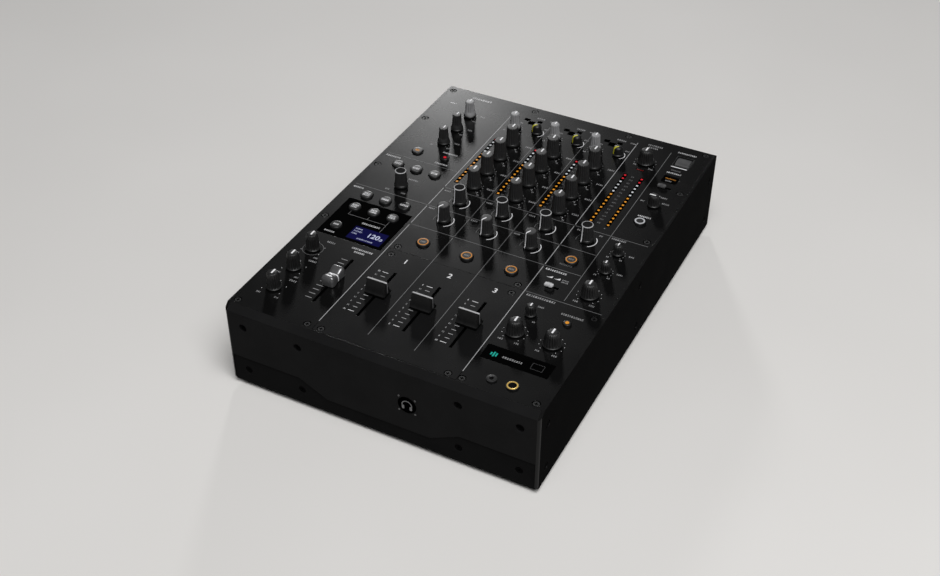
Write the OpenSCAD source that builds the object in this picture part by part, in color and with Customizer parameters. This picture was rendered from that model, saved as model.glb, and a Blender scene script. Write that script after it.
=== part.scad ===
// Three-channel DJ mixer: a flat desktop case with its controls on top.
// X runs across the case, Y from the front edge to the rear, Z up.
// The origin is on the surface it stands on, under the middle of the case.

/* [Case] */
// Width over the side plates
case_w = 285; // [282:1:292]
// Depth from the front face to the rear edge of the top
case_d = 398; // [396:1:406]
// Height without the feet
case_h = 80; // [78:1:88]
// Height of the rubber feet
foot_h = 5; // [3:1:8]
// Diameter of the rubber feet
foot_diameter = 22; // [16:1:26]
// Thickness of the top and fader panels
panel_t = 3; // [2.6:0.2:3.6]
// Thickness of each side plate
side_t = 2.5; // [2:0.5:3]
// Thickness of the folded steel tray
tray_t = 2; // [1.5:0.5:2.5]
// How far the rear panel is set in under the top
rear_inset = 10; // [9:0.5:12]

/* [Front] */
// Depth of the sloping front lip
lip_d = 6; // [4:0.5:7]
// Height of the sloping front lip
lip_h = 5.5; // [4:0.5:6]
// Height of the front panel's lower edge at the sides, from the tray's base
front_edge_side = 28; // [26:1:32]
// Height of the front panel's lower edge in the middle, from the tray's base
front_edge_middle = 14.5; // [12:0.5:18]

/* [Channels] */
// X of the middle channel
channel_x = 4; // [3:0.5:5]
// Distance from one channel to the next
channel_pitch = 42.4; // [42:0.1:42.8]
// Distance from one equaliser knob to the next
eq_pitch = 27; // [26:0.5:27]
// Distance from one meter lamp to the next
lamp_pitch = 5.77; // [5.5:0.01:5.8]

/* [Knobs and faders] */
// Height of an equaliser knob
eq_knob_h = 20; // [16:0.5:20]
// Height of a slim knob
slim_knob_h = 17; // [14:0.5:20]
// Diameter of a knob's shaft
shaft_diameter = 6; // [5:0.5:6]
// Length of a fader's slot
slot_length = 63; // [60:1:64]
// Width of a fader's slot
slot_width = 2.6; // [2.4:0.2:3]
// Height of a channel fader's cap
fader_cap_h = 13.5; // [11:0.5:15]

/* [Phones sockets] */
// Bore of the large phones socket
phones_bore = 6.4; // [6.35:0.05:6.5]
// Bore of the small phones socket
mini_bore = 3.6; // [3.55:0.05:3.7]

/* [Hidden] */
CHANNELS = [1, 2, 3];
BANDS = [1, 2, 3, 4];
TRIO = [1, 2, 3];
$fn = 48;

eps = 0.01;
half_w = case_w / 2;
half_d = case_d / 2;
z_top = foot_h + case_h;
z_under = z_top - panel_t;
inner_w = case_w - 2 * side_t;
rear_y = half_d - rear_inset;
front_y = -half_d;
sheet_t = 1;

// Fader panel, let into the top panel on a ledge
fader_panel_x = [-61.8, 67.6];
fader_panel_y = [-191.8, -69.8];
fader_panel_t = 2;
panel_gap = 0.3;
ledge = 5;

// Screws
screw_d = 3;
head_d = 5.2;
head_h = 1.3;
sink_d = 6.8;
sink_h = 1.5;

// Places on the top, measured from the middle of the case
mic_x = -98.3;
mic_y = [155, 127.5, 100];
resonance_at = [-98.3, 17];
fx_x = -118.6;
fx_y = [-101, -131, -161];
fx_fader_at = [-79.8, -130.2];
trim_dx = -10.5;
trim_y = 155;
selector_dx = 12;
selector_y = 157;
eq_y0 = 127.5;
filter_y = 18;
send_y = -12.5;
cue_y = -50.3;
channel_fader_y = -129.5;
channel_fader_rest = 1.5;
meter_dx = -18;
meter_y0 = 47.4;
lamp_count = 15;
lamp_size = 2.6;
master_x = 85.8;
master_level_at = [86.5, 157];
master_filter_at = [85.8, 18.3];
master_meter_x = [77.6, 94];
curve_at = [85.8, -55];
mic_lever_at = [117.2, 125.3];
route_at = [118.5, 94.5];
booth_high_at = [117.5, 12];
booth_low_at = [117.5, -15.5];
booth_level_at = [118, -51];
phones_cue_at = [85.5, -95.5];
phones_mix_at = [83.8, -121];
phones_level_at = [116.2, -121];
phones_socket_at = [109.2, -178.2];
mini_socket_at = [91.5, -178.2];
usb_pocket_x = [109.5, 126.8];
usb_pocket_y = [164.5, 183];
usb_pocket_depth = 10;
fx_button_x = [-118.5, -99, -79.6];
fx_button_y = [47, -10.5, -31.3];
tap_at = [-119, -62.5];
fx_window = [[-130.5, -77.3], [-65.8, -20.5]];
link_window = [[71.5, -159.5], [129.5, -142.5]];
mode_window = [[110.3, 134], [125.2, 146]];
window_t = 1;

// [x, y, diameter, height] of each button
fx_button_list = [
    for (y = fx_button_y, x = fx_button_x) [x, y, 11.5, 1.6],
    [tap_at.x, tap_at.y, 11, 1.5]
];
cue_button_list = [
    for (c = CHANNELS) [channel_cx(c), cue_y, 12, 1.5],
    [master_x, -14.5, 12, 1.5]
];
utility_button_list = [
    [-113.5, 75.5, 11, 1.5],
    [-84.3, 76, 8, 1.7],
    [117, 65, 10.5, 1.5],
    [116.5, -92.5, 7, 1.6]
];
button_gap = 0.35;
button_travel = 1;

// Every knob's place, for the holes and the potentiometers under them
knob_places = [
    for (y = mic_y) [mic_x, y],
    for (y = fx_y) [fx_x, y],
    resonance_at,
    for (c = CHANNELS) [channel_cx(c) + selector_dx, selector_y],
    for (c = CHANNELS) [channel_cx(c) + trim_dx, trim_y],
    for (c = CHANNELS, b = BANDS) [channel_cx(c), eq_y(b)],
    for (c = CHANNELS) [channel_cx(c), filter_y],
    for (c = CHANNELS) [channel_cx(c), send_y],
    master_level_at, master_filter_at, booth_level_at, route_at,
    phones_mix_at, phones_level_at, phones_cue_at, booth_high_at, booth_low_at
];
fader_places = [
    for (c = CHANNELS) [channel_cx(c), channel_fader_y],
    fx_fader_at
];
lever_places = [curve_at, mic_lever_at];
lever_slot = [13, 2.6];

top_screws = [
    for (y = [191.5, 131.5, 39, -54, -187.8]) [-136, y],
    for (y = [194, 122.5, 40, -77, -187.5]) [133.5, y],
    [-44, 192], [56, 192], [-68.8, -188], [71, -188], [-55, -65], [59.6, -65]
];
fader_screws = [[-55, -77], [59.6, -77], [-55.7, -188], [59, -188]];
front_screw_x = [-126, -73, 73, 126];
front_screw_z = [14.5, 61];
side_screw_y = [-184, 5, 184];
side_screw_z = [14.5, 60];
foot_places = [for (x = [-118, 118], y = [-172, 165]) [x, y]];

// Boards under the top
board_t = 1.6;
board_top = z_top - 14;
board_x = [-132, 132];
board_y = [-166, 172];
pot_size = 12;
pot_h = 7;
shaft_clearance = 0.15;
shaft_end = board_top + 2.5;
shaft_hole = 7.4;
track_size = [10, 74, 7];
main_board_z = foot_h + tray_t + 8;

// Rear sockets: [x, z]
xlr_out_at = [[92, 58], [62, 58]];
xlr_in_at = [-66, 58];
rca_at = [for (c = CHANNELS, dx = [-8, 8], z = [66, 48]) [(2 - c) * 30, z] + [dx, 0],
    [56, 30], [56, 16], [40, 30]];
rear_jack_at = [[92, 24], [74, 24], [-58, 24], [-74, 24]];
usb_b_at = [[-96, 62], [-96, 42]];
lan_at = [[-120, 62], [-120, 42]];
ground_at = [[-15, 28], [15, 28]];
inlet_at = [121, 27];
power_at = [121, 62];
inlet_size = [27.5, 20];
rear_jack_bore = 6.4;

function channel_cx(c) = channel_x + (c - 2) * channel_pitch;
function eq_y(b) = eq_y0 - (b - 1) * eq_pitch;
function meter_x() = [for (c = CHANNELS) channel_cx(c) + meter_dx, for (x = master_meter_x) x];
function all_buttons() = concat(fx_button_list, cue_button_list, utility_button_list);

// A rectangle between two corners, raised by h from z
module slab(low, high, z, h) {
    translate([low.x, low.y, z]) cube([high.x - low.x, high.y - low.y, h]);
}

// A cut along the Y axis, starting at the point given
module rear_hole(at, diameter, y, depth) {
    translate([at.x, y, at[1]]) rotate([-90, 0, 0]) cylinder(d = diameter, h = depth);
}

// A cap screw standing on the point given, head up, with a cross recess
module screw(length = 6) {
    difference() {
        union() {
            cylinder(d = head_d, h = head_h);
            translate([0, 0, -length]) cylinder(d = screw_d, h = length + eps);
        }
        for (a = [0, 90]) rotate([0, 0, a])
            translate([-1.6, -0.5, head_h - 0.8]) cube([3.2, 1, 1]);
    }
}

// A sunk screw hole cut down from the point given
module screw_hole(depth) {
    translate([0, 0, -sink_h]) cylinder(d = sink_d, h = sink_h + 1);
    translate([0, 0, -depth - 1]) cylinder(d = screw_d + 0.2, h = depth + 1);
}

module front_turn(x, z, y) {
    translate([x, y, z]) rotate([90, 0, 0]) children();
}

module side_turn(side, y, z) {
    translate([side * half_w, y, z]) rotate([0, side * 90, 0]) children();
}

// ---- Case ----

module top_shape() {
    lip_y = front_y + lip_d;
    fold = 2.4;
    translate([-inner_w / 2, 0, 0]) rotate([90, 0, 90]) linear_extrude(inner_w)
        polygon([
            [half_d, z_under], [half_d, z_top], [lip_y, z_top],
            [front_y, z_top - lip_h], [front_y + fold, z_top - lip_h],
            [lip_y + fold / 2, z_under]
        ]);
}

module control_holes() {
    for (p = knob_places) translate([p.x, p.y, z_under - 1]) cylinder(d = shaft_hole, h = panel_t + 2);
    for (b = all_buttons()) translate([b.x, b.y, z_under - 1])
        cylinder(d = b[2] + 2 * button_gap, h = panel_t + 2);
    for (p = fader_places)
        slab(p - [slot_width, slot_length] / 2, p + [slot_width, slot_length] / 2, z_under - 1, panel_t + 2);
    for (p = lever_places) slab(p - lever_slot / 2, p + lever_slot / 2, z_under - 1, panel_t + 2);
}

module lamp_holes() {
    hole = lamp_size + 0.2;
    for (x = meter_x(), i = [0 : lamp_count - 1])
        translate([x - hole / 2, meter_y0 + i * lamp_pitch - hole / 2, z_under - 1])
            cube([hole, hole, panel_t + 2]);
}

module windows(z, h, gap = 0) {
    for (w = [fx_window, link_window, mode_window])
        slab(w[0] - [gap, gap], w[1] + [gap, gap], z, h);
}

module top_panel() {
    low = [fader_panel_x[0], fader_panel_y[0]];
    high = [fader_panel_x[1], fader_panel_y[1]];
    gap = [panel_gap, panel_gap];
    color("#2b2b2d") difference() {
        top_shape();
        slab(low - gap, high + gap, z_top - fader_panel_t, panel_t);
        slab(low + [ledge, ledge], high - [ledge, ledge], z_under - 1, panel_t);
        control_holes();
        lamp_holes();
        windows(z_top - window_t, window_t + 1, 0.1);
        for (p = top_screws) translate([p.x, p.y, z_top]) screw_hole(panel_t);
        for (p = fader_screws) translate([p.x, p.y, z_top]) screw_hole(panel_t);
        translate([phones_socket_at.x, phones_socket_at.y, z_under - 1]) cylinder(d = 10, h = panel_t + 2);
        translate([mini_socket_at.x, mini_socket_at.y, z_under - 1]) cylinder(d = 8, h = panel_t + 2);
        slab([usb_pocket_x[0], usb_pocket_y[0]], [usb_pocket_x[1], usb_pocket_y[1]], z_under - 1, panel_t + 2);
    }
}

module fader_panel() {
    color("#29292b") difference() {
        slab([fader_panel_x[0], fader_panel_y[0]], [fader_panel_x[1], fader_panel_y[1]],
            z_top - fader_panel_t, fader_panel_t);
        control_holes();
        for (p = fader_screws) translate([p.x, p.y, z_top]) screw_hole(panel_t);
    }
}

// The front panel's outline: its lower edge drops in the middle
module front_outline() {
    top = z_top - lip_h;
    side_z = foot_h + front_edge_side;
    middle_z = foot_h + front_edge_middle;
    ramp = [48, 74];
    polygon([
        [-inner_w / 2, top], [-inner_w / 2, side_z], [-ramp[1], side_z], [-ramp[0], middle_z],
        [ramp[0], middle_z], [ramp[1], side_z], [inner_w / 2, side_z], [inner_w / 2, top]
    ]);
}

module front_holes(depth) {
    for (x = front_screw_x, z = front_screw_z) front_turn(x, foot_h + z, front_y)
        translate([0, 0, -depth]) cylinder(d = sink_d + 0.6, h = depth + 1);
}

module front_panel() {
    color("#262628") difference() {
        translate([0, front_y + sheet_t, 0]) rotate([90, 0, 0]) linear_extrude(sheet_t) front_outline();
        front_holes(sheet_t + 1);
    }
}

module bottom_tray() {
    wall_y = front_y + sheet_t;
    front_t = 3;
    flange = 12;
    rear_lip = 2;
    color("#242426") difference() {
        union() {
            slab([-inner_w / 2, wall_y], [inner_w / 2, half_d - rear_lip], foot_h, tray_t);
            slab([-inner_w / 2, wall_y], [inner_w / 2, wall_y + front_t], foot_h, case_h - lip_h);
            for (s = [-1, 1]) slab([s > 0 ? inner_w / 2 - tray_t : -inner_w / 2, wall_y],
                [s > 0 ? inner_w / 2 : tray_t - inner_w / 2, rear_y], foot_h, case_h - panel_t);
            for (s = [-1, 1]) slab([s > 0 ? inner_w / 2 - flange : -inner_w / 2, wall_y + flange],
                [s > 0 ? inner_w / 2 : flange - inner_w / 2, rear_y - flange],
                z_under - tray_t, tray_t);
        }
        for (x = front_screw_x, z = front_screw_z) front_turn(x, foot_h + z, wall_y) screw_hole(front_t + 1);
        for (s = [-1, 1], y = side_screw_y, z = side_screw_z)
            side_turn(s, y, foot_h + z) translate([0, 0, -side_t - tray_t - 1])
                cylinder(d = screw_d + 0.2, h = tray_t + 2);
        for (p = foot_places) translate([p.x, p.y, foot_h - 1]) cylinder(d = screw_d + 0.2, h = tray_t + 2);
        for (p = top_screws) translate([p.x, p.y, z_under - tray_t - 1])
            cylinder(d = screw_d + 0.2, h = tray_t + 2);
        // Cooling slots in the base
        for (x = [-90 : 6 : 90], y = [-90, 60])
            translate([x - 1.1, y, foot_h - 1]) cube([2.2, 34, tray_t + 2]);
        // Room for the lip's fold
        slab([-inner_w / 2 - 1, wall_y - 1], [inner_w / 2 + 1, wall_y + front_t + 9],
            z_top - lip_h - eps, lip_h + 1);
    }
}

module side_plates() {
    round_r = 3;
    color("#1f1f21") for (s = [-1, 1]) difference() {
        translate([s > 0 ? half_w - side_t : -half_w, 0, 0]) rotate([90, 0, 90]) linear_extrude(side_t)
            polygon([
                [half_d, foot_h], [half_d, z_top], [front_y + lip_d, z_top], [front_y, z_top - lip_h],
                [front_y, foot_h + 2], [front_y + 2, foot_h]
            ]);
        for (y = side_screw_y, z = side_screw_z)
            side_turn(s, y, foot_h + z) screw_hole(side_t);
        // Rounded front edge
        translate([s * (half_w - round_r), front_y + round_r, foot_h - 1]) difference() {
            translate([s > 0 ? 0 : -round_r - 1, -round_r - 1, 0]) cube([round_r + 1, round_r + 1, case_h + 2]);
            translate([0, 0, -1]) cylinder(r = round_r, h = case_h + 4);
        }
    }
}

module rear_panel() {
    color("#1d1d1f") difference() {
        slab([-inner_w / 2 + tray_t, rear_y - tray_t], [inner_w / 2 - tray_t, rear_y],
            foot_h + tray_t, z_under - foot_h - tray_t);
        y = rear_y - tray_t - 1;
        cut = tray_t + 2;
        for (p = xlr_out_at) rear_hole([p.x, foot_h + p[1]], 22, y, cut);
        rear_hole([xlr_in_at.x, foot_h + xlr_in_at[1]], 22, y, cut);
        for (p = rca_at) rear_hole([p.x, foot_h + p[1]], 7, y, cut);
        for (p = rear_jack_at) rear_hole([p.x, foot_h + p[1]], 10, y, cut);
        for (p = ground_at) rear_hole([p.x, foot_h + p[1]], 4, y, cut);
        rear_hole([power_at.x, foot_h + power_at[1]], 15, y, cut);
        for (p = usb_b_at) translate([p.x - 6.3, y, foot_h + p[1] - 5.7]) cube([12.6, cut, 11.4]);
        for (p = lan_at) translate([p.x - 8.3, y, foot_h + p[1] - 7]) cube([16.6, cut, 14]);
        translate([inlet_at.x - inlet_size.x / 2, y, foot_h + inlet_at[1] - inlet_size.y / 2])
            cube([inlet_size.x, cut, inlet_size.y]);
        // Cooling slots
        for (x = [-132 : 5 : -88]) translate([x, y, foot_h + 10]) cube([2.2, cut, 18]);
    }
}

module rubber_feet() {
    color("#151515") for (p = foot_places) translate([p.x, p.y, 0]) difference() {
        cylinder(d1 = foot_diameter - 2, d2 = foot_diameter, h = foot_h);
        translate([0, 0, -eps]) cylinder(d = head_d + 1, h = foot_h / 2 + eps);
        cylinder(d = screw_d + 0.2, h = foot_h + 1);
    }
}

module case_screws() {
    color("#3a3a3c") {
        for (p = concat(top_screws, fader_screws))
            translate([p.x, p.y, z_top - sink_h]) screw(4);
        for (x = front_screw_x, z = front_screw_z)
            front_turn(x, foot_h + z, front_y + sheet_t + sink_h) screw(4);
        for (s = [-1, 1], y = side_screw_y, z = side_screw_z)
            side_turn(s, y, foot_h + z) translate([0, 0, -sink_h]) screw(4);
        for (p = foot_places)
            translate([p.x, p.y, foot_h / 2]) rotate([180, 0, 0]) screw(foot_h / 2 + tray_t + 2);
    }
}

// ---- Windows and sockets on the top ----

module gloss_windows() {
    color("#050506") difference() {
        windows(z_top - window_t, window_t);
        for (b = all_buttons()) translate([b.x, b.y, z_top - window_t - 1])
            cylinder(d = b[2] + 2 * button_gap, h = window_t + 2);
    }
}

// The meter lamps stand on the control board and end just under the panel's face
module meter_lamps() {
    sunk = 0.8;
    for (x = meter_x(), i = [0 : lamp_count - 1])
        translate([x - lamp_size / 2, meter_y0 + i * lamp_pitch - lamp_size / 2, board_top - eps])
            cube([lamp_size, lamp_size, z_top - board_top - sunk]);
}

module panel_sockets() {
    rim_h = 0.6;
    body = 15;
    depth = 32;
    color("#c9a24a") translate([phones_socket_at.x, phones_socket_at.y, 0]) difference() {
        union() {
            translate([0, 0, z_top]) cylinder(d = 10.4, h = rim_h);
            translate([0, 0, z_under - 1]) cylinder(d = 9.8, h = panel_t + 1 + eps);
            translate([-body / 2, -body / 2, z_under - depth]) cube([body, body, depth - eps]);
        }
        translate([0, 0, z_under - depth + 2]) cylinder(d = phones_bore, h = depth + panel_t);
    }
    color("#1a1a1b") translate([mini_socket_at.x, mini_socket_at.y, 0]) difference() {
        union() {
            translate([0, 0, z_top]) cylinder(d = 8.5, h = rim_h);
            translate([0, 0, z_under - 1]) cylinder(d = 7.8, h = panel_t + 1 + eps);
            translate([-5, -5, z_under - 15]) cube([10, 10, 15 - eps]);
        }
        translate([0, 0, z_under - 14]) cylinder(d = mini_bore, h = 20);
    }
    color("#1a1a1b") usb_pocket();
}

// A sunk tray with a USB type A port standing in it
module usb_pocket() {
    wall = 1;
    floor_z = z_top - usb_pocket_depth;
    low = [usb_pocket_x[0], usb_pocket_y[0]];
    high = [usb_pocket_x[1], usb_pocket_y[1]];
    middle = (low + high) / 2;
    shell = [14, 6.6];
    mouth = [12.5, 5.1];
    tongue = [11, 1.8];
    difference() {
        slab(low + [0.1, 0.1], high - [0.1, 0.1], floor_z - wall, usb_pocket_depth + wall - 0.2);
        slab(low + [wall, wall], high - [wall, wall], floor_z, usb_pocket_depth);
    }
    difference() {
        slab(middle - shell / 2, middle + shell / 2, floor_z - eps, 6);
        slab(middle - mouth / 2, middle + mouth / 2, floor_z + 0.5, 6);
    }
    slab(middle - tongue / 2, middle + tongue / 2, floor_z, 5.5);
}

// ---- Inside ----

module circuit_boards() {
    color("#1d4a2c") difference() {
        union() {
            slab([board_x[0], board_y[0]], [board_x[1], board_y[1]], board_top - board_t, board_t);
            for (p = knob_places)
                slab(p - [pot_size, pot_size] / 2, p + [pot_size, pot_size] / 2, board_top - eps, pot_h);
            for (p = fader_places)
                slab(p - [track_size.x, track_size.y] / 2, p + [track_size.x, track_size.y] / 2,
                    board_top - eps, track_size.z);
            meter_lamps();
        }
        for (p = knob_places) translate([p.x, p.y, shaft_end - 0.5])
            cylinder(d = shaft_diameter + 2 * shaft_clearance, h = pot_h);
        for (p = fader_places)
            slab(p - [slot_width, slot_length] / 2, p + [slot_width, slot_length] / 2,
                shaft_end - 0.5, track_size.z);
        slab([usb_pocket_x[0] - 1, usb_pocket_y[0] - 1], [usb_pocket_x[1] + 1, usb_pocket_y[1] + 1],
            board_top - board_t - 1, 8);
    }
    // Main board on its posts, with the converter chips and the power supply
    color("#1d4a2c") slab([-125, -120], [125, 120], main_board_z, board_t);
    color("#8a8a8a") for (x = [-115, 0, 115], y = [-110, 110])
        translate([x, y, foot_h + tray_t]) cylinder(d = 6, h = main_board_z - foot_h - tray_t);
    color("#333333") for (x = [-75, -40, -5, 30])
        slab([x, -40], [x + 20, -20], main_board_z + board_t, 2.5);
    color("#777777") slab([62, 20], [118, 110], main_board_z + board_t, 30);
}

// ---- Rear sockets ----

module xlr_flange(at) {
    translate([at.x - 13, rear_y, foot_h + at[1] - 15.5]) cube([26, 1.6, 31]);
}

// Male output socket: a cup with three pins, set back behind its rim
module xlr_out(at) {
    cup_d = 21;
    cup_depth = 16;
    z = foot_h + at[1];
    difference() {
        union() {
            xlr_flange(at);
            rear_hole([at.x, z], cup_d, rear_y - cup_depth, cup_depth + eps);
        }
        rear_hole([at.x, z], cup_d - 3, rear_y - cup_depth + 2, cup_depth + 3);
    }
    for (a = [90, 210, 330])
        rear_hole([at.x + 3.8 * cos(a), z + 3.8 * sin(a)], 2.4, rear_y - cup_depth + 2 - eps, cup_depth - 7);
}

// Female input socket: a face with three contacts and a latch
module xlr_in(at) {
    z = foot_h + at[1];
    difference() {
        union() {
            xlr_flange(at);
            rear_hole([at.x, z], 21, rear_y - 14, 14 + 1.8);
        }
        for (a = [90, 210, 330])
            rear_hole([at.x + 3.8 * cos(a), z + 3.8 * sin(a)], 2.8, rear_y - 8, 12);
        difference() {
            rear_hole([at.x, z], 19, rear_y - 6, 9);
            rear_hole([at.x, z], 16, rear_y - 7, 11);
        }
    }
    translate([at.x - 3, rear_y + 1.5, z + 10.6]) cube([6, 1.2, 3.6]);
}

module rca(at) {
    z = foot_h + at[1];
    difference() {
        union() {
            rear_hole([at.x, z], 11.5, rear_y, 1.2);
            rear_hole([at.x, z], 8.3, rear_y, 8);
            rear_hole([at.x, z], 6.8, rear_y - 8, 8 + eps);
        }
        rear_hole([at.x, z], 3.3, rear_y - 4, 14);
    }
}

module rear_jack(at) {
    z = foot_h + at[1];
    difference() {
        union() {
            rear_hole([at.x, z], 13, rear_y, 2);
            rear_hole([at.x, z], 9.8, rear_y - 3, 3 + eps);
            translate([at.x - 7.5, rear_y - 28, z - 7.5]) cube([15, 26 - eps, 15]);
        }
        rear_hole([at.x, z], rear_jack_bore, rear_y - 26, 30);
    }
}

module usb_b(at) {
    translate([at.x, rear_y - 14, foot_h + at[1]]) difference() {
        translate([-6, 0, -5.4]) cube([12, 14.8, 10.8]);
        difference() {
            translate([-4.25, 5, -3.9]) cube([8.5, 11, 7.8]);
            translate([-2.8, 4, -1.6]) cube([5.6, 10, 3.2]);
        }
    }
}

module lan(at) {
    translate([at.x, rear_y - 16, foot_h + at[1]]) difference() {
        translate([-8, 0, -6.7]) cube([16, 16.8, 13.4]);
        translate([-5.85, 4, -4.2]) cube([11.7, 14, 8]);
    }
}

module ground_post(at) {
    z = foot_h + at[1];
    rear_hole([at.x, z], 3.8, rear_y - 6, 8);
    rear_hole([at.x, z], 9, rear_y, 1.2);
    rear_hole([at.x, z], 7.5, rear_y + 1.1, 6);
}

// Mains inlet: a hooded cavity with three flat pins
module mains_inlet(at) {
    rim = 2;
    depth = 18;
    translate([at.x, rear_y, foot_h + at[1]]) {
        difference() {
            union() {
                translate([-inlet_size.x / 2 - rim, 0, -inlet_size.y / 2 - rim])
                    cube([inlet_size.x + 2 * rim, 2, inlet_size.y + 2 * rim]);
                translate([-inlet_size.x / 2 + 0.1, -depth, -inlet_size.y / 2 + 0.1])
                    cube([inlet_size.x - 0.2, depth + eps, inlet_size.y - 0.2]);
            }
            translate([-inlet_size.x / 2 + 1.8, 2 - depth, -inlet_size.y / 2 + 1.8])
                cube([inlet_size.x - 3.6, depth + 1, inlet_size.y - 3.6]);
        }
        for (p = [[-7, -2], [0, 2], [7, -2]])
            translate([p.x - 1, 2 - depth - eps, p[1] - 2]) cube([2, depth - 7, 4]);
    }
}

module sockets() {
    panel_sockets();
    color("#19191a") {
        for (p = xlr_out_at) xlr_out(p);
        xlr_in(xlr_in_at);
        for (p = rear_jack_at) rear_jack(p);
        for (p = usb_b_at) usb_b(p);
        for (p = lan_at) lan(p);
        mains_inlet(inlet_at);
    }
    color("#b9975a") for (p = rca_at) rca(p);
    color("#a8a8aa") for (p = ground_at) ground_post(p);
}

module power_button() {
    z = foot_h + power_at[1];
    color("#2a2a2c") {
        rear_hole([power_at.x, z], 13, rear_y - 12, 16);
        rear_hole([power_at.x, z], 6, rear_y - 18, 7);
    }
}

// ---- Knobs ----

// A knob with its shaft. turn is the pointer's angle from the rear, clockwise.
module knob(at, base_d, top_d, h, turn = 0, skirt_h = 3, line = true) {
    gap = 0.8;
    translate([at.x, at.y, z_top + gap]) {
        cylinder(d = base_d, h = skirt_h);
        translate([0, 0, skirt_h - eps]) cylinder(d1 = base_d - 1.4, d2 = top_d, h = h - gap - skirt_h);
        rotate([0, 0, -turn]) translate([-0.5, 0, h - gap - 1]) cube([1, top_d / 2 - 0.3, 1.2]);
    }
    translate([at.x, at.y, shaft_end]) cylinder(d = shaft_diameter, h = z_top + gap - shaft_end + eps);
}

clock_7 = -154;

module mic_knob(i) {
    color(i == 1 ? "#8e8e90" : "#3c3c3e") knob([mic_x, mic_y[i - 1]], 12.5, 8.6, slim_knob_h);
}

module fx_knob(i) {
    color("#1e1e20") knob([fx_x, fx_y[i - 1]], 13.5, 10.5, 16);
}

module resonance_knob() {
    color("#1e1e20") knob(resonance_at, 13, 10.4, slim_knob_h, 30);
}

module trim_knob(c) {
    color("#8e8e90") knob([channel_cx(c) + trim_dx, trim_y], 12.5, 8.6, slim_knob_h);
}

module input_selector(c) {
    color("#161617") knob([channel_cx(c) + selector_dx, selector_y], 11, 9, 9.5, -140);
}

module eq_knob(c, b) {
    color("#1e1e20") knob([channel_cx(c), eq_y(b)], 14, 11, eq_knob_h);
}

module filter_knob(c) {
    color("#1e1e20") knob([channel_cx(c), filter_y], 13, 10.4, slim_knob_h, clock_7);
}

module send_knob(c) {
    color("#1e1e20") knob([channel_cx(c), send_y], 13, 10.4, slim_knob_h, clock_7);
}

module master_level_knob() {
    color("#1e1e20") knob(master_level_at, 17, 11, 14);
}

module master_filter_knob() {
    color("#1e1e20") knob(master_filter_at, 13, 10.4, slim_knob_h, clock_7);
}

module booth_level_knob() {
    color("#1e1e20") knob(booth_level_at, 16.5, 10.6, 13);
}

module route_selector() {
    color("#3c3c3e") knob(route_at, 12.5, 9, 11, -90);
}

module phones_mix_knob() {
    color("#1e1e20") knob(phones_mix_at, 16.5, 10.6, 13);
}

module phones_level_knob() {
    color("#1e1e20") knob(phones_level_at, 16.5, 10.6, 13);
}

module small_knob(at) {
    color("#1e1e20") knob(at, 10.5, 7.4, 10);
}

module phones_cue_knob() {
    small_knob(phones_cue_at);
}

module booth_high_knob() {
    small_knob(booth_high_at);
}

module booth_low_knob() {
    small_knob(booth_low_at);
}

// ---- Faders, levers and buttons ----

// A fader's flat stem, down into its track
module stem(at, cap_base) {
    stem_size = [1.6, 6];
    slab(at - stem_size / 2, at + stem_size / 2, shaft_end, cap_base - shaft_end + eps);
}

// Waisted cap with a sharp ridge across it
module channel_fader(c) {
    at = [channel_cx(c), channel_fader_y + channel_fader_rest];
    cap_w = 19;
    cap_l = 12.5;
    base = z_top + 1;
    h = fader_cap_h - 1;
    color("#1b1b1d") {
        translate([at.x - cap_w / 2, at.y, base]) rotate([90, 0, 90]) linear_extrude(cap_w)
            polygon([
                [-cap_l / 2, 0], [cap_l / 2, 0], [cap_l / 2, 3.5], [cap_l * 0.2, h * 0.72],
                [1.1, h], [-1.1, h], [-cap_l * 0.2, h * 0.72], [-cap_l / 2, 3.5]
            ]);
        stem(at, base);
    }
}

// Saddle-shaped cap: two lobes and a low waist between them
module fx_fader() {
    cap_w = 12;
    cap_l = 22;
    h = 10;
    waist = 6.5;
    saddle_r = 7;
    base = z_top + 1;
    color("#b5b7ba") {
        difference() {
            translate([fx_fader_at.x - cap_w / 2, fx_fader_at.y - cap_l / 2, base]) cube([cap_w, cap_l, h]);
            translate([fx_fader_at.x - cap_w, fx_fader_at.y, base + waist + saddle_r])
                rotate([0, 90, 0]) cylinder(r = saddle_r, h = 2 * cap_w);
        }
        stem(fx_fader_at, base);
    }
}

// The curve switch and the talk-over switch share one node and slide across
module slide_levers() {
    grip = [7.6, 4.2];
    grip_h = 2.6;
    stem_size = [2.4, 1.8];
    color("#9a9a9c") for (p = lever_places) {
        at = p - [2.5, 0];
        slab(at - grip / 2, at + grip / 2, z_top + 0.4, grip_h);
        slab(at - stem_size / 2, at + stem_size / 2, shaft_end, z_top + 0.4 - shaft_end + eps);
    }
}

module buttons(list) {
    below = 5;
    for (b = list) translate([b.x, b.y, z_top - below]) {
        cylinder(d = b[2], h = below + b[3] - 0.8);
        translate([0, 0, below + b[3] - 0.8 - eps]) cylinder(d1 = b[2], d2 = b[2] - 1.6, h = 0.8);
    }
}

module fx_buttons() {
    color("#9da0a3") buttons(fx_button_list);
}

module cue_buttons() {
    color("#8f8470") buttons(cue_button_list);
}

module utility_buttons() {
    color("#77777a") buttons(utility_button_list);
}

// ---- Nodes ----

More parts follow.
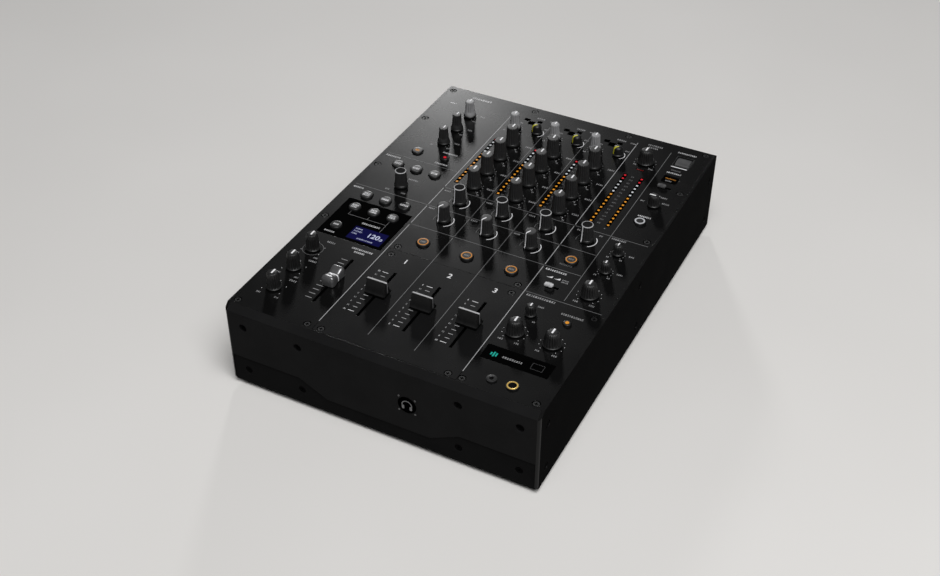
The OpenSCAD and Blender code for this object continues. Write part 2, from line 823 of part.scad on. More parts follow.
top_panel();
fader_panel();
bottom_tray();
front_panel();
side_plates();
rear_panel();
rubber_feet();
case_screws();
gloss_windows();
circuit_boards();
sockets();
power_button();
for (i = TRIO) mic_knob(i);
for (i = TRIO) fx_knob(i);
resonance_knob();
fx_fader();
for (c = CHANNELS) input_selector(c);
for (c = CHANNELS) trim_knob(c);
for (c = CHANNELS, b = BANDS) eq_knob(c, b);
for (c = CHANNELS) filter_knob(c);
for (c = CHANNELS) send_knob(c);
for (c = CHANNELS) channel_fader(c);
master_level_knob();
master_filter_knob();
booth_level_knob();
route_selector();
phones_mix_knob();
phones_level_knob();
phones_cue_knob();
booth_high_knob();
booth_low_knob();
slide_levers();
fx_buttons();
cue_buttons();
utility_buttons();
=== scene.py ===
import math
import random

import bmesh
import bpy
from mathutils import Matrix, Vector


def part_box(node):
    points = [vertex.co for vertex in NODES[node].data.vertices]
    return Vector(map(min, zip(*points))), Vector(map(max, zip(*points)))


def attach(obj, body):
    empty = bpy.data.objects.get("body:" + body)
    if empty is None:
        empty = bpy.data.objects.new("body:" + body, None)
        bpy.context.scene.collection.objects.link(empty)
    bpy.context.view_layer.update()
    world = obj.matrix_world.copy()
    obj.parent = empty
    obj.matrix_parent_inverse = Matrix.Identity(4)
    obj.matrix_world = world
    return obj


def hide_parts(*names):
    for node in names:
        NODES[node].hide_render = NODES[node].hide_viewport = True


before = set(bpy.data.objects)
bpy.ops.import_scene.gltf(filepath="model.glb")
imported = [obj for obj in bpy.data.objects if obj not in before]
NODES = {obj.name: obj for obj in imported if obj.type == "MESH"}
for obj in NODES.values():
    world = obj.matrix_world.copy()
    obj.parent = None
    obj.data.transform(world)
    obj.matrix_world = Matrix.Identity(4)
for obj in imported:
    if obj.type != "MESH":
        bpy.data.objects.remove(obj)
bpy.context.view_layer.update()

MM = 0.001
CHANNELS = (1, 2, 3)
BANDS = (1, 2, 3, 4)
Z_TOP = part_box("fader_panel")[1].z / MM
TO_REAR = Matrix.Rotation(-math.pi / 2, 3, "X")
TO_FRONT = Matrix.Rotation(math.pi / 2, 3, "X")


# ---- Places, all in millimetres and read from the frame ----


def centre(node):
    """Middle of a node seen from above."""
    low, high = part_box(node)
    return (low.x + high.x) / 2 / MM, (low.y + high.y) / 2 / MM


def solids(node):
    """Box of each separate solid of a node, as (low, high) in millimetres, sorted from the rear left."""
    bm = bmesh.new()
    bm.from_mesh(NODES[node].data)
    bmesh.ops.remove_doubles(bm, verts=bm.verts, dist=1e-6)
    seen, boxes = set(), []
    for start in bm.verts:
        if start in seen:
            continue
        stack, island = [start], []
        seen.add(start)
        while stack:
            vert = stack.pop()
            island.append(vert.co / MM)
            for edge in vert.link_edges:
                other = edge.other_vert(vert)
                if other not in seen:
                    seen.add(other)
                    stack.append(other)
        low = Vector([min(co[i] for co in island) for i in range(3)])
        high = Vector([max(co[i] for co in island) for i in range(3)])
        boxes.append((low, high))
    bm.free()
    return sorted(boxes, key=lambda b: (-round(b[0].y + b[1].y), b[0].x))


def middle(box):
    return (box[0].x + box[1].x) / 2, (box[0].y + box[1].y) / 2


# ---- Materials ----


def material(name):
    mat = bpy.data.materials.new(name)
    mat.use_nodes = True
    return mat, mat.node_tree, mat.node_tree.nodes["Principled BSDF"]


def noise(tree, scale, detail):
    coords = tree.nodes.new("ShaderNodeTexCoord")
    tex = tree.nodes.new("ShaderNodeTexNoise")
    tex.inputs["Scale"].default_value = scale
    tex.inputs["Detail"].default_value = detail
    tex.inputs["Roughness"].default_value = 0.55
    tree.links.new(coords.outputs["Object"], tex.inputs["Vector"])
    return tex.outputs["Fac"]


def ramp(tree, fac, stops):
    node = tree.nodes.new("ShaderNodeValToRGB")
    points = node.color_ramp.elements
    while len(points) < len(stops):
        points.new(0.5)
    for point, (place, tone) in zip(points, stops):
        point.position = place
        point.color = (*tone, 1)
    tree.links.new(fac, node.inputs["Fac"])
    return node.outputs["Color"]


def spread(tree, fac, low, high):
    node = tree.nodes.new("ShaderNodeMapRange")
    node.inputs["From Min"].default_value = 0.3
    node.inputs["From Max"].default_value = 0.7
    node.inputs["To Min"].default_value = low
    node.inputs["To Max"].default_value = high
    tree.links.new(fac, node.inputs["Value"])
    return node.outputs["Result"]


def moulded(name, dark, light, rough=(0.35, 0.45), grain=3000, bump=0.1, patch=200, metallic=0.0,
            specular=0.5, edge=0.0):
    """A coated or moulded surface: patchy colour, fine grain in the bump and uneven roughness."""
    mat, tree, bsdf = material(name)
    wide = noise(tree, patch, 4)
    fine = noise(tree, grain, 2)
    tones = ramp(tree, wide, [(0.3, colour(dark)), (0.7, colour(light))])
    tree.links.new(tones, bsdf.inputs["Base Color"])
    tree.links.new(spread(tree, wide, *rough), bsdf.inputs["Roughness"])
    bumps = tree.nodes.new("ShaderNodeBump")
    bumps.inputs["Strength"].default_value = bump
    bumps.inputs["Distance"].default_value = 0.000012
    tree.links.new(fine, bumps.inputs["Height"])
    if edge:
        bevel = tree.nodes.new("ShaderNodeBevel")
        bevel.samples = 4
        bevel.inputs["Radius"].default_value = edge * MM
        tree.links.new(bevel.outputs["Normal"], bumps.inputs["Normal"])
    tree.links.new(bumps.outputs["Normal"], bsdf.inputs["Normal"])
    bsdf.inputs["Metallic"].default_value = metallic
    bsdf.inputs["Specular IOR Level"].default_value = specular
    return mat


def ink(name, dark, light, rough=(0.45, 0.55), specular=0.5):
    return moulded(name, dark, light, rough, 2500, 0.1, 300, specular=specular)


def glowing(name, tone, strength=0.9, dim=0.9, rough=0.3):
    """A lit lens: its glow varies a little across the surface."""
    mat, tree, bsdf = material(name)
    wide = noise(tree, 900, 1)
    glow = ramp(tree, wide, [(0.35, tuple(c * dim for c in tone)), (0.65, tone)])
    body = ramp(tree, wide, [(0.35, tuple(c * 0.02 for c in tone)), (0.65, tuple(c * 0.04 for c in tone))])
    tree.links.new(glow, bsdf.inputs["Emission Color"])
    tree.links.new(body, bsdf.inputs["Base Color"])
    bsdf.inputs["Emission Strength"].default_value = strength
    bsdf.inputs["Roughness"].default_value = rough
    bsdf.inputs["Specular IOR Level"].default_value = 0.25
    return mat


def colour(value):
    """A number stands for a grey that is a touch cooler than neutral."""
    return value if isinstance(value, tuple) else (value, value, value * 1.02)


PAINT_TOP = moulded("panel_paint", 0.0020, 0.0028, (0.26, 0.28), 2600, 0.2, 25, edge=0.25)
PAINT_FADER = moulded("fader_panel_paint", 0.0060, 0.0080, (0.26, 0.28), 2600, 0.2, 25,
                      specular=0.3, edge=0.25)
# Near-black with almost no gloss, laid on hole and recess walls, slot walls, downward faces, board tops under
# the holes, screw recesses and the foot of the fader caps: painted shade.
PAINT_SHADE = moulded("painted_shade_black", 0.0008, 0.0014, (0.5, 0.6), 2600, 0.2, 60, specular=0.1)
PAINT_CASE = moulded("case_paint", 0.0110, 0.0135, (0.34, 0.42), 2200, 0.4, 30, specular=0.004, edge=0.5)
# Darker than the case paint: the tray's own paint with painted shade under the front panel's lower edge.
TRAY_PAINT_AND_SHADE = moulded("tray_paint_and_shade", 0.0072, 0.0090, (0.38, 0.46), 2200, 0.4, 30, specular=0.002)
PAINT_SIDE = moulded("side_paint", 0.0028, 0.0038, (0.42, 0.50), 2200, 0.4, 30, specular=0.001)
# A lighter, glossier finish for the rounded vertical corners of the side plates: a painted highlight line.
EDGE_HIGHLIGHT = moulded("painted_edge_highlight", 0.007, 0.010, (0.30, 0.36), 2200, 0.3, 30, specular=0.12)
PAINT_REAR = moulded("rear_paint", 0.008, 0.012, (0.45, 0.55), 2200, 0.3, 30, edge=0.2)
KNOB_BLACK = moulded("knob_black", 0.017, 0.025, (0.38, 0.48), 3500, 0.2, 250)
KNOB_DARK = moulded("knob_dark", 0.008, 0.012, (0.40, 0.50), 3500, 0.2, 250)
KNOB_SKIRT = moulded("knob_skirt", 0.008, 0.012, (0.35, 0.45), 3500, 0.15, 250)
KNOB_GREY = moulded("knob_grey", 0.24, 0.32, (0.36, 0.46), 3500, 0.2, 250)
POINTER = moulded("pointer_white", 0.84, 0.92, (0.45, 0.55), patch=400)
LIME = moulded("pointer_lime", (0.46, 0.43, 0.01), (0.56, 0.52, 0.02), (0.4, 0.5), patch=400)
SILVER = moulded("button_silver", 0.021, 0.031, (0.30, 0.38), metallic=0.25)
SMOKE = moulded("button_smoke", 0.008, 0.013, (0.3, 0.4))
PALE_LEVER = moulded("lever_pale", 0.50, 0.60)
DARK_LEVER = moulded("lever_dark", 0.07, 0.10)
SHUTTER = moulded("port_shutter", 0.06, 0.08, (0.34, 0.44))
FADER = moulded("fader_black", 0.004, 0.007, (0.34, 0.44), 3500, 0.15, 200)
CHROME = moulded("fader_silver", 0.19, 0.25, (0.28, 0.34), 3000, 0.08, 150, metallic=0.7)
ACRYLIC = moulded("gloss_acrylic", 0.0008, 0.0012, (0.02, 0.04), 50, 0.01, 40, specular=0.12)
RIM_GOLD = moulded("rim_gold", (0.84, 0.55, 0.13), (0.92, 0.64, 0.20), (0.26, 0.34), 2500, 0.06,
                   metallic=0.35)
RUBBER = moulded("foot_rubber", 0.015, 0.025, (0.7, 0.85), 1800, 0.5, 80)
SCREW = moulded("screw_black", 0.010, 0.015, (0.42, 0.50), 2500, 0.2, 400)
BOARD = moulded("circuit_board", (0.004, 0.05, 0.02), (0.01, 0.09, 0.035), (0.35, 0.5), 900, 0.2, 90)
GOLD = moulded("gold_plate", (0.75, 0.52, 0.16), (0.85, 0.62, 0.24), (0.16, 0.26), 2500, 0.06,
               metallic=1)
STEEL = moulded("plated_steel", 0.55, 0.66, (0.2, 0.32), 2500, 0.08, 200, metallic=1)
PLASTIC = moulded("socket_plastic", 0.010, 0.016, (0.35, 0.5), 2500, 0.2, 150)
RED_RING = moulded("socket_red", (0.35, 0.01, 0.01), (0.45, 0.02, 0.02), (0.35, 0.5), 2500, 0.1, 150)
WHITE_RING = moulded("socket_white", 0.6, 0.7, (0.35, 0.5), 2500, 0.1, 150)
INK_WHITE = ink("ink_white", 0.72, 0.80)
INK_SOFT = ink("ink_soft", 0.42, 0.50)
INK_PALE = ink("ink_pale", 0.34, 0.42)
INK_GREY = ink("ink_grey", 0.12, 0.16)
INK_DIM = ink("ink_dim", 0.045, 0.06)
INK_BLACK = ink("ink_black", 0.0003, 0.0006, (0.5, 0.6), 0.0)
LAMP_AMBER = glowing("lamp_amber", (0.84, 0.34, 0.03), 0.9, 0.75)
LAMP_WHITE = glowing("lamp_white", (0.68, 0.71, 0.74), 0.85, 0.75)
LAMP_RED = glowing("lamp_red", (0.80, 0.02, 0.035), 0.85, 0.75)
RING_AMBER = glowing("ring_amber", (0.60, 0.24, 0.035))
RING_WHITE = glowing("ring_white", (0.50, 0.51, 0.53))
LCD_BLUE = glowing("lcd_blue", (0.006, 0.006, 0.055), rough=0.05)
LCD_TEXT = glowing("lcd_text", (0.56, 0.60, 0.80), rough=0.1)
TEAL = glowing("glyph_teal", (0.01, 0.40, 0.32))


# ---- Mesh building ----


class Shape:
    """Collects vertices and faces in millimetres, with a material for each face."""

    def __init__(self):
        self.verts, self.faces, self.tones, self.palette = [], [], [], []

    def tone(self, mat):
        if mat not in self.palette:
            self.palette.append(mat)
        return self.palette.index(mat)

    def add(self, verts, faces, mat):
        base, index = len(self.verts), self.tone(mat)
        self.verts += [tuple(v) for v in verts]
        self.faces += [tuple(base + i for i in face) for face in faces]
        self.tones += [index] * len(faces)

    def lathe(self, profile, mat, steps=48, at=(0, 0, 0), flutes=0, depth=0.0, turn=None):
        """Turns (radius, height[, flute share]) points round Z. turn maps a point to another direction."""
        verts, rings = [], []
        for point in profile:
            radius, height = point[0], point[1]
            share = point[2] if len(point) > 2 else 0
            if radius < 1e-6:
                rings.append([len(verts)])
                verts.append((0, 0, height))
                continue
            rings.append(list(range(len(verts), len(verts) + steps)))
            for step in range(steps):
                angle = 2 * math.pi * step / steps
                groove = 0.5 - 0.5 * math.cos(flutes * angle)
                r = radius - depth * share * groove ** 1.6
                verts.append((r * math.cos(angle), r * math.sin(angle), height))
        faces = []
        for low, high in zip(rings, rings[1:]):
            for i in range(steps):
                j = (i + 1) % steps
                if len(low) == 1:
                    faces.append((low[0], high[j], high[i])[::-1])
                elif len(high) == 1:
                    faces.append((low[i], low[j], high[0]))
                else:
                    faces.append((low[i], low[j], high[j], high[i]))
        placed = [Vector(v) for v in verts]
        if turn:
            placed = [turn @ v for v in placed]
        self.add([v + Vector(at) for v in placed], faces, mat)

    def from_bmesh(self, bm, mat):
        bm.verts.index_update()
        self.add([v.co for v in bm.verts], [[v.index for v in f.verts] for f in bm.faces], mat)
        bm.free()

    def block(self, low, high, mat, bevel=0.3, segments=2):
        """A box with rounded edges."""
        bm = bmesh.new()
        bmesh.ops.create_cube(bm, size=1)
        size = [b - a for a, b in zip(low, high)]
        mid = [(a + b) / 2 for a, b in zip(low, high)]
        bmesh.ops.scale(bm, vec=size, verts=bm.verts)
        bmesh.ops.translate(bm, vec=mid, verts=bm.verts)
        if bevel:
            bmesh.ops.bevel(bm, geom=bm.edges[:], offset=bevel, segments=segments, affect="EDGES")
        self.from_bmesh(bm, mat)

    def prism(self, outline, x0, x1, mat, bevel=0.5, segments=3):
        """An outline in Y and Z drawn out along X, with rounded edges."""
        bm = bmesh.new()
        near = [bm.verts.new((x0, y, z)) for y, z in outline]
        far = [bm.verts.new((x1, y, z)) for y, z in outline]
        bm.faces.new(near[::-1])
        bm.faces.new(far)
        for i in range(len(outline)):
            j = (i + 1) % len(outline)
            bm.faces.new((near[i], near[j], far[j], far[i]))
        bmesh.ops.recalc_face_normals(bm, faces=bm.faces)
        ends = [e for e in bm.edges if abs(e.verts[0].co.x - e.verts[1].co.x) < 1e-6]
        bmesh.ops.bevel(bm, geom=ends, offset=bevel, segments=segments, affect="EDGES")
        self.from_bmesh(bm, mat)

    def ribbon(self, path, across, mat, width=1.0, thick=0.12):
        """A thin raised band along a path of points, across it in the direction given. It rises to the
        side of across x path."""
        side = Vector(across).normalized() * width / 2
        points = [Vector(p) for p in path]
        verts, faces = [], []
        for i, point in enumerate(points):
            before, after = points[max(i - 1, 0)], points[min(i + 1, len(points) - 1)]
            out = side.cross(after - before).normalized() * thick
            verts += [point - side, point - side * 0.85 + out, point + side * 0.85 + out, point + side]
        for i in range(len(points) - 1):
            a = 4 * i
            faces += [(a + k, a + k + 1, a + k + 5, a + k + 4) for k in range(3)]
            faces.append((a + 3, a, a + 4, a + 7))
        last = 4 * (len(points) - 1)
        faces += [(3, 2, 1, 0), (last, last + 1, last + 2, last + 3)]
        self.add(verts, faces, mat)

    def piece(self, name, body, slot, at=(0, 0, 0), turn=0.0, replaces=(), angle=32, mesh=None):
        """Makes the object, stands it at a point, turns it clockwise and sets it riding on its body."""
        data = mesh or self.mesh(name, angle)
        obj = bpy.data.objects.new(name, data)
        bpy.context.scene.collection.objects.link(obj)
        obj.location = Vector(at) * MM
        obj.rotation_euler.z = -math.radians(turn)
        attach(obj, body)
        if replaces:
            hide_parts(*replaces)
        return obj

    def mesh(self, name, angle=32):
        data = bpy.data.meshes.new(name)
        data.from_pydata([tuple(c * MM for c in v) for v in self.verts], [], self.faces)
        for mat in self.palette:
            data.materials.append(mat)
        data.polygons.foreach_set("material_index", self.tones)
        data.validate()
        bm = bmesh.new()
        bm.from_mesh(data)
        bmesh.ops.remove_doubles(bm, verts=bm.verts, dist=2e-7)
        bmesh.ops.recalc_face_normals(bm, faces=bm.faces)
        bm.to_mesh(data)
        bm.free()
        data.shade_smooth()
        data.set_sharp_from_angle(angle=math.radians(angle))
        return data


def arc_points(radius, start, end, count, mid=(0, 0)):
    """Points on an arc, by clock angle in degrees: 0 is the rear and angles grow clockwise."""
    points = []
    for i in range(count + 1):
        a = math.radians(start + (end - start) * i / count)
        points.append((mid[0] + radius * math.sin(a), mid[1] + radius * math.cos(a)))
    return points


# ---- Knobs ----

GAP = 0.8
FRONT_LEFT = -154


def skirt(shape, base_r, rim):
    """The black foot of a knob, a little above the panel. rim holds the points from its side inwards."""
    shape.lathe([(0, GAP), (base_r - 0.3, GAP), (base_r, GAP + 0.3)] + rim, KNOB_SKIRT)


def flat_top(r, height, shares):
    """The rounded rim and the level top of a grip. shares say how far the flutes run into the rim."""
    rim = zip((r - 0.06, r - 0.28, r - 0.6), (height - 0.35, height - 0.1, height), shares)
    return list(rim) + [(r - 1.2, height + 0.02, 0), (0, height + 0.02, 0)]


def knob_body(shape, base_r, foot_r, top_r, height, flutes=16, depth=0.55, waist=0.0):
    """A round skirt with a fluted, tapered grip on it. waist pulls the grip's lower half in."""
    skirt_h = GAP + 2.0
    skirt(shape, base_r, [(base_r, skirt_h - 0.5), (base_r - 0.35, skirt_h), (foot_r, skirt_h + 0.35),
                          (0, skirt_h + 0.4)])
    grip = [(0, skirt_h), (foot_r, skirt_h, 0), (foot_r + 0.1, skirt_h + 0.5, 0.8)]
    span = height - 1.4 - skirt_h
    for i in range(1, 7):
        t = i / 6
        r = foot_r + (top_r - foot_r) * (t + waist * math.sin(math.pi * t))
        grip.append((r, skirt_h + 0.5 + span * t, 1))
    grip += flat_top(top_r, height, (0.9, 0.7, 0.2))
    shape.lathe(grip, KNOB_BLACK, steps=flutes * 8, flutes=flutes, depth=depth)


def top_pointer(shape, top_r, height, width=1.5):
    """A bar from near the middle of the top to the rear edge and a little way down the grip."""
    top = height + 0.02
    shape.ribbon([(0, -0.4, top), (0, top_r - 0.9, top), (0, top_r - 0.3, top - 0.06),
                  (0, top_r + 0.02, top - 0.4), (0, top_r + 0.14, top - 2.0)], (1, 0, 0), POINTER, width, 0.2)


def side_pointer(shape, base_r, foot_r, top_r, height):
    """A line from the top edge down the grip to the skirt's lower edge."""
    skirt_h = GAP + 2.0
    shape.ribbon([(0, top_r - 0.6, height), (0, top_r + 0.05, height - 0.5), (0, top_r + 0.18, height - 1.4),
                  (0, foot_r + 0.16, skirt_h + 0.6), (0, base_r - 0.3, skirt_h + 0.12),
                  (0, base_r + 0.02, skirt_h - 0.5), (0, base_r + 0.02, GAP + 0.3)], (1, 0, 0), POINTER, 1.1)


def tall_knob():
    shape = Shape()
    knob_body(shape, 7.0, 6.35, 5.5, 20, depth=0.7, waist=0.12)
    top_pointer(shape, 5.5, 20)
    return shape


def slim_knob(mat):
    """A narrow grip that flares into a foot of the same colour over a black skirt."""
    base_r, foot_r, waist_r, top_r, foot_z, height = 6.25, 5.6, 4.75, 4.3, 5.4, 17
    skirt_h = GAP + 1.6
    shape = Shape()
    skirt(shape, base_r, [(base_r, skirt_h - 0.4), (base_r - 0.35, skirt_h), (0, skirt_h)])
    shape.lathe([(0, skirt_h - 0.1), (foot_r, skirt_h - 0.1), (foot_r + 0.1, skirt_h + 0.3),
                 (foot_r - 0.1, foot_z - 1.2), (foot_r - 0.5, foot_z - 0.2), (waist_r, foot_z + 0.9),
                 (0, foot_z + 1.0)], mat)
    grip = [(0, foot_z), (waist_r - 0.1, foot_z, 0), (waist_r, foot_z + 0.8, 0.5), (waist_r, foot_z + 1.6, 1)]
    for i in range(1, 5):
        t = i / 4
        grip.append((waist_r + (top_r - waist_r) * t, foot_z + 1.6 + (height - 3.0 - foot_z) * t, 1))
    grip += flat_top(top_r, height, (0.8, 0.6, 0.15))
    shape.lathe(grip, mat, steps=112, flutes=14, depth=0.75)
    top_pointer(shape, top_r, height, width=1.3)
    return shape


def ring_knob(ring=True):
    """A slim knob with a white line down its side and, if ring is set, a thin white ring round its top."""
    base_r, foot_r, top_r, height = 6.5, 5.8, 5.2, 17
    shape = Shape()
    knob_body(shape, base_r, foot_r, top_r, height)
    side_pointer(shape, base_r, foot_r, top_r, height)
    if ring:
        shape.lathe([(top_r - 0.75, height - 0.1), (top_r - 0.7, height + 0.12), (top_r - 0.3, height + 0.13),
                     (top_r - 0.1, height - 0.1), (top_r, height - 0.35), (top_r - 0.3, height - 0.5)],
                    INK_SOFT, steps=64)
        # A near-black, unglossy disc inside the ring, darker than the grip, stands for the shade in the top's
        # hollow: painted shade.
        shape.lathe([(0, height), (top_r - 0.85, height), (top_r - 0.8, height + 0.06), (0, height + 0.05)],
                    PAINT_CASE, steps=48)
    else:
        top = height + 0.03
        shape.ribbon([(0, 0.2, top), (0, top_r - 1.2, top), (0, top_r - 0.5, height - 0.05)], (1, 0, 0),
                     POINTER, 1.1, 0.16)
    return shape


def dome_knob(base_r, shoulder_r, top_r, height, flutes, width):
    """A bell: a fluted side that rounds over into a small top, with a short bar on its rear shoulder."""
    skirt_h = GAP + 1.4
    shape = Shape()
    skirt(shape, base_r, [(base_r, skirt_h - 0.4), (base_r - 0.4, skirt_h), (0, skirt_h)])
    turn_z = height * 0.66
    foot_r, foot_z = base_r - 0.75, skirt_h + 0.5
    side = [(0, skirt_h - 0.1), (base_r - 0.7, skirt_h - 0.1, 0), (foot_r, foot_z, 0.8)]
    for i in range(1, 4):
        t = i / 3
        side.append((foot_r + (shoulder_r - foot_r) * t, foot_z + (turn_z - foot_z) * t, 1))
    crown = [bell_point(shoulder_r, top_r, turn_z, height, i / 9) for i in range(1, 10)]
    side += [(r, z, 1 - 0.7 * (z - turn_z) / (height - turn_z)) for r, z in crown[:-1]] + [(*crown[-1], 0)]
    shape.lathe(side + [(0, height + 0.03, 0)], KNOB_DARK, steps=flutes * 8, flutes=flutes, depth=0.8)
    path = [(0, r + 0.06, z + 0.06) for r, z in crown[::-1][:5]]
    shape.ribbon([(0, -0.4 * top_r, height + 0.05)] + path, (1, 0, 0), POINTER, width, 0.2)
    return shape


def bell_point(shoulder_r, top_r, low, high, share):
    """Radius and height on the rounded crown of a bell."""
    angle = math.pi / 2 * share
    return top_r + (shoulder_r - top_r) * math.cos(angle), low + (high - low) * math.sin(angle)


def effects_knob():
    return dome_knob(6.75, 5.5, 3.7, 16, 16, 1.5)


def level_knob(height=13):
    return dome_knob(8.25, 6.2, 3.6, height, 18, 1.6)


def route_knob():
    return dome_knob(6.25, 4.9, 3.6, 11, 14, 1.2)


def small_knob():
    return dome_knob(5.2, 4.2, 2.2, 10, 12, 1.2)


def selector_knob():
    """A short smooth knob with a yellow-green pointer over the top and down the side."""
    shape = Shape()
    base_r, foot_r, side_r, top_r, height = 5.5, 5.0, 4.5, 2.4, 9.5
    crown = [bell_point(side_r, top_r, 6.8, height, i / 6) for i in range(7)]
    skirt(shape, base_r, [(base_r, GAP + 1.2), (foot_r, GAP + 1.6), (0, GAP + 1.6)])
    shape.lathe([(0, GAP + 1.5), (foot_r - 0.1, GAP + 1.5)] + crown + [(0, height + 0.03)], KNOB_SKIRT)
    line = [(0, -0.4, height + 0.03)] + [(0, r + 0.04, z + 0.04) for r, z in crown[::-1]]
    shape.ribbon(line + [(0, foot_r, GAP + 1.8)], (1, 0, 0), LIME, 1.8)
    return shape


def knob_set(shape, nodes, slot="knob_rubber", turn=0.0):
    """One shared mesh, stood at each node's middle."""
    mesh = shape.mesh(nodes[0] + "_mesh", 38)
    for node in nodes:
        x, y = centre(node)
        shape.piece(node + "_cap", node, slot, (x, y, Z_TOP), turn, (node,), mesh=mesh)


def per_channel(kind):
    return [f"{kind}_{c}" for c in CHANNELS]


def knobs():
    knob_set(tall_knob(), [f"eq_knob_{c}_{b}" for c in CHANNELS for b in BANDS])
    knob_set(slim_knob(KNOB_BLACK), ["mic_knob_2", "mic_knob_3"])
    knob_set(slim_knob(KNOB_GREY), ["mic_knob_1"] + per_channel("trim_knob"), "grey_knob")
    knob_set(route_knob(), ["route_selector"], turn=-90)
    knob_set(ring_knob(), per_channel("filter_knob") + ["master_filter_knob"], turn=FRONT_LEFT)
    knob_set(ring_knob(), ["resonance_knob"], turn=30)
    knob_set(ring_knob(False), per_channel("send_knob"), turn=FRONT_LEFT)
    knob_set(effects_knob(), per_channel("fx_knob"))
    knob_set(level_knob(14), ["master_level_knob"])
    knob_set(level_knob(), ["booth_level_knob", "phones_mix_knob", "phones_level_knob"])
    knob_set(small_knob(), ["phones_cue_knob", "booth_high_knob", "booth_low_knob"])
    knob_set(selector_knob(), per_channel("input_selector"), "selector_plastic", -140)


# ---- Faders, levers and buttons ----


def channel_fader_shape():
    """A wedge with hollow faces, a narrow ridge and a white line over it and down both ends. Down the ends
    the same line is drawn in dark grey: painted shade.
    """
    width, length, height, base = 19.0, 12.5, 13.5, 1.0
    half = length / 2
    slope = []
    for i in range(9):
        t = i / 8
        slope.append((half + (1.3 - half) * t ** 0.75, 1.0 + base + (height - 1.0 - base) * t ** 1.15))
    outline = [(-half, base), (half, base)] + slope + [(-y, z) for y, z in reversed(slope)]
    shape = Shape()
    shape.prism(outline, -width / 2, width / 2, FADER, 0.7, 4)
    # A near-black band round the foot of the cap, where it meets the panel: painted shade.
    out = half + 0.05
    foot = [(-out, base - 0.1), (out, base - 0.1), (out, base + 1.4), (-out, base + 1.4)]
    shape.prism(foot, -width / 2 - 0.05, width / 2 + 0.05, PAINT_SHADE, 0.3, 2)
    x, low = width / 2 + 0.02, 3.4
    shape.ribbon([(-x + 0.3, 0, height - 0.3), (-x + 0.9, 0, height + 0.02), (x - 0.9, 0, height + 0.02),
                  (x - 0.3, 0, height - 0.3)], (0, -1, 0), INK_SOFT, 1.5, 0.1)
    # The white line down each end is drawn in dark grey ink: painted shade on the ends.
    for side in (-1, 1):
        ends = [(side * x, 0, low), (side * x, 0, height - 1.0), (side * (x - 0.3), 0, height - 0.3)]
        shape.ribbon(ends[::-side], (0, -1, 0), INK_GREY, 1.2, 0.1)
    shape.block((-0.8, -3, -8), (0.8, 3, base + 0.5), STEEL, 0.1, 1)
    return shape


def effects_fader_shape():
    """A silver saddle: blunt lobes front and back, and a low waist with a white line across it."""
    length, base, rings, around, waist_z = 21.0, 1.0, 45, 24, 6.6
    verts, faces = [], []
    for i in range(rings):
        y = -length / 2 * math.cos(math.pi * i / (rings - 1))
        t = abs(y) / (length / 2)
        lobe = 0.5 - 0.5 * math.cos(math.pi * min(1.0, t / 0.72))
        end = math.sqrt(max(0.0, 1 - max(0.0, (t - 0.7) / 0.3) ** 2.6))
        top = base + 0.15 + (waist_z + 3.0 * lobe - base) * (0.35 + 0.65 * end)
        half_w = (5.1 + 0.9 * lobe) * (0.6 + 0.4 * end)
        verts += [saddle_point(half_w, y, base, top, k / around) for k in range(around + 1)]
    step = around + 1
    for i in range(rings - 1):
        for k in range(around):
            a = i * step + k
            faces.append((a, a + 1, a + step + 1, a + step))
        faces.append((i * step + around, i * step, (i + 1) * step, (i + 1) * step + around))
    faces.append(tuple(range(step))[::-1])
    faces.append(tuple((rings - 1) * step + k for k in range(step)))
    shape = Shape()
    shape.add(verts, faces, CHROME)
    line = [saddle_point(5.14, 0, base, waist_z + 0.18, k / around) for k in range(around + 1)]
    shape.ribbon(line, (0, 1, 0), POINTER, 1.1, 0.08)
    shape.block((-0.8, -3, -8), (0.8, 3, base + 1), STEEL, 0.1, 1)
    return shape


def saddle_point(half_w, y, base, top, share):
    """A point on the saddle's squarish arch, share of the way from its right foot to its left."""
    c, s = math.cos(math.pi * share), math.sin(math.pi * share)
    return half_w * math.copysign(abs(c) ** 0.42, c), y, base + (top - base) * abs(s) ** 0.42


def faders():
    shape = channel_fader_shape()
    mesh = shape.mesh("channel_fader_mesh", 40)
    for node in per_channel("channel_fader"):
        x, y = centre(node)
        shape.piece(node + "_cap", node, "fader_plastic", (x, y, Z_TOP), 0, (node,), mesh=mesh)
    x, y = centre("fx_fader")
    shape = effects_fader_shape()
    shape.piece("fx_fader_cap", "fx_fader", "silver_plastic", (x, y, Z_TOP), 0, ("fx_fader",), 50)


def levers():
    shape = Shape()
    for box, mat in zip(solids("slide_levers"), (DARK_LEVER, PALE_LEVER)):
        x, y = middle(box)
        shape.block((x - 3.8, y - 2.1, Z_TOP + 0.4), (x + 3.8, y + 2.1, Z_TOP + 2.6), mat, 0.5, 3)
        for rib in (x - 1.2, x, x + 1.2):
            shape.block((rib - 0.25, y - 1.9, Z_TOP + 2.4), (rib + 0.25, y + 1.9, Z_TOP + 3.0), mat, 0.1, 1)
        shape.block((x - 1.2, y - 0.9, Z_TOP - 8), (x + 1.2, y + 0.9, Z_TOP + 0.6), PLASTIC, 0.1, 1)
    shape.piece("slide_levers_grips", "slide_levers", "lever_plastic", replaces=("slide_levers",))


def dome(shape, x, y, r, h, mat, crown=0.12):
    """A round push button with a black side, a bevelled rim and a faintly domed face."""
    shape.lathe([(0, -3), (r - 0.1, -3), (r, -2.8), (r, h - 0.7), (r - 0.1, h - 0.5), (0, h - 0.5)],
                KNOB_SKIRT, 48, (x, y, Z_TOP))
    shape.lathe([(0, h - 0.6), (r - 0.1, h - 0.6), (r - 0.14, h - 0.42), (r - 0.45, h - 0.08), (r - 0.7, h),
                 (r * 0.7, h + crown * 0.4), (r * 0.4, h + crown * 0.8), (0, h + crown)],
                mat, 48, (x, y, Z_TOP))


def flat_ring(shape, x, y, inner, outer, z, mat):
    low, high = z - 0.2, z + 0.14
    shape.lathe([(inner, low), (inner, high), (outer, high), (outer, low)], mat, 48, (x, y, Z_TOP))


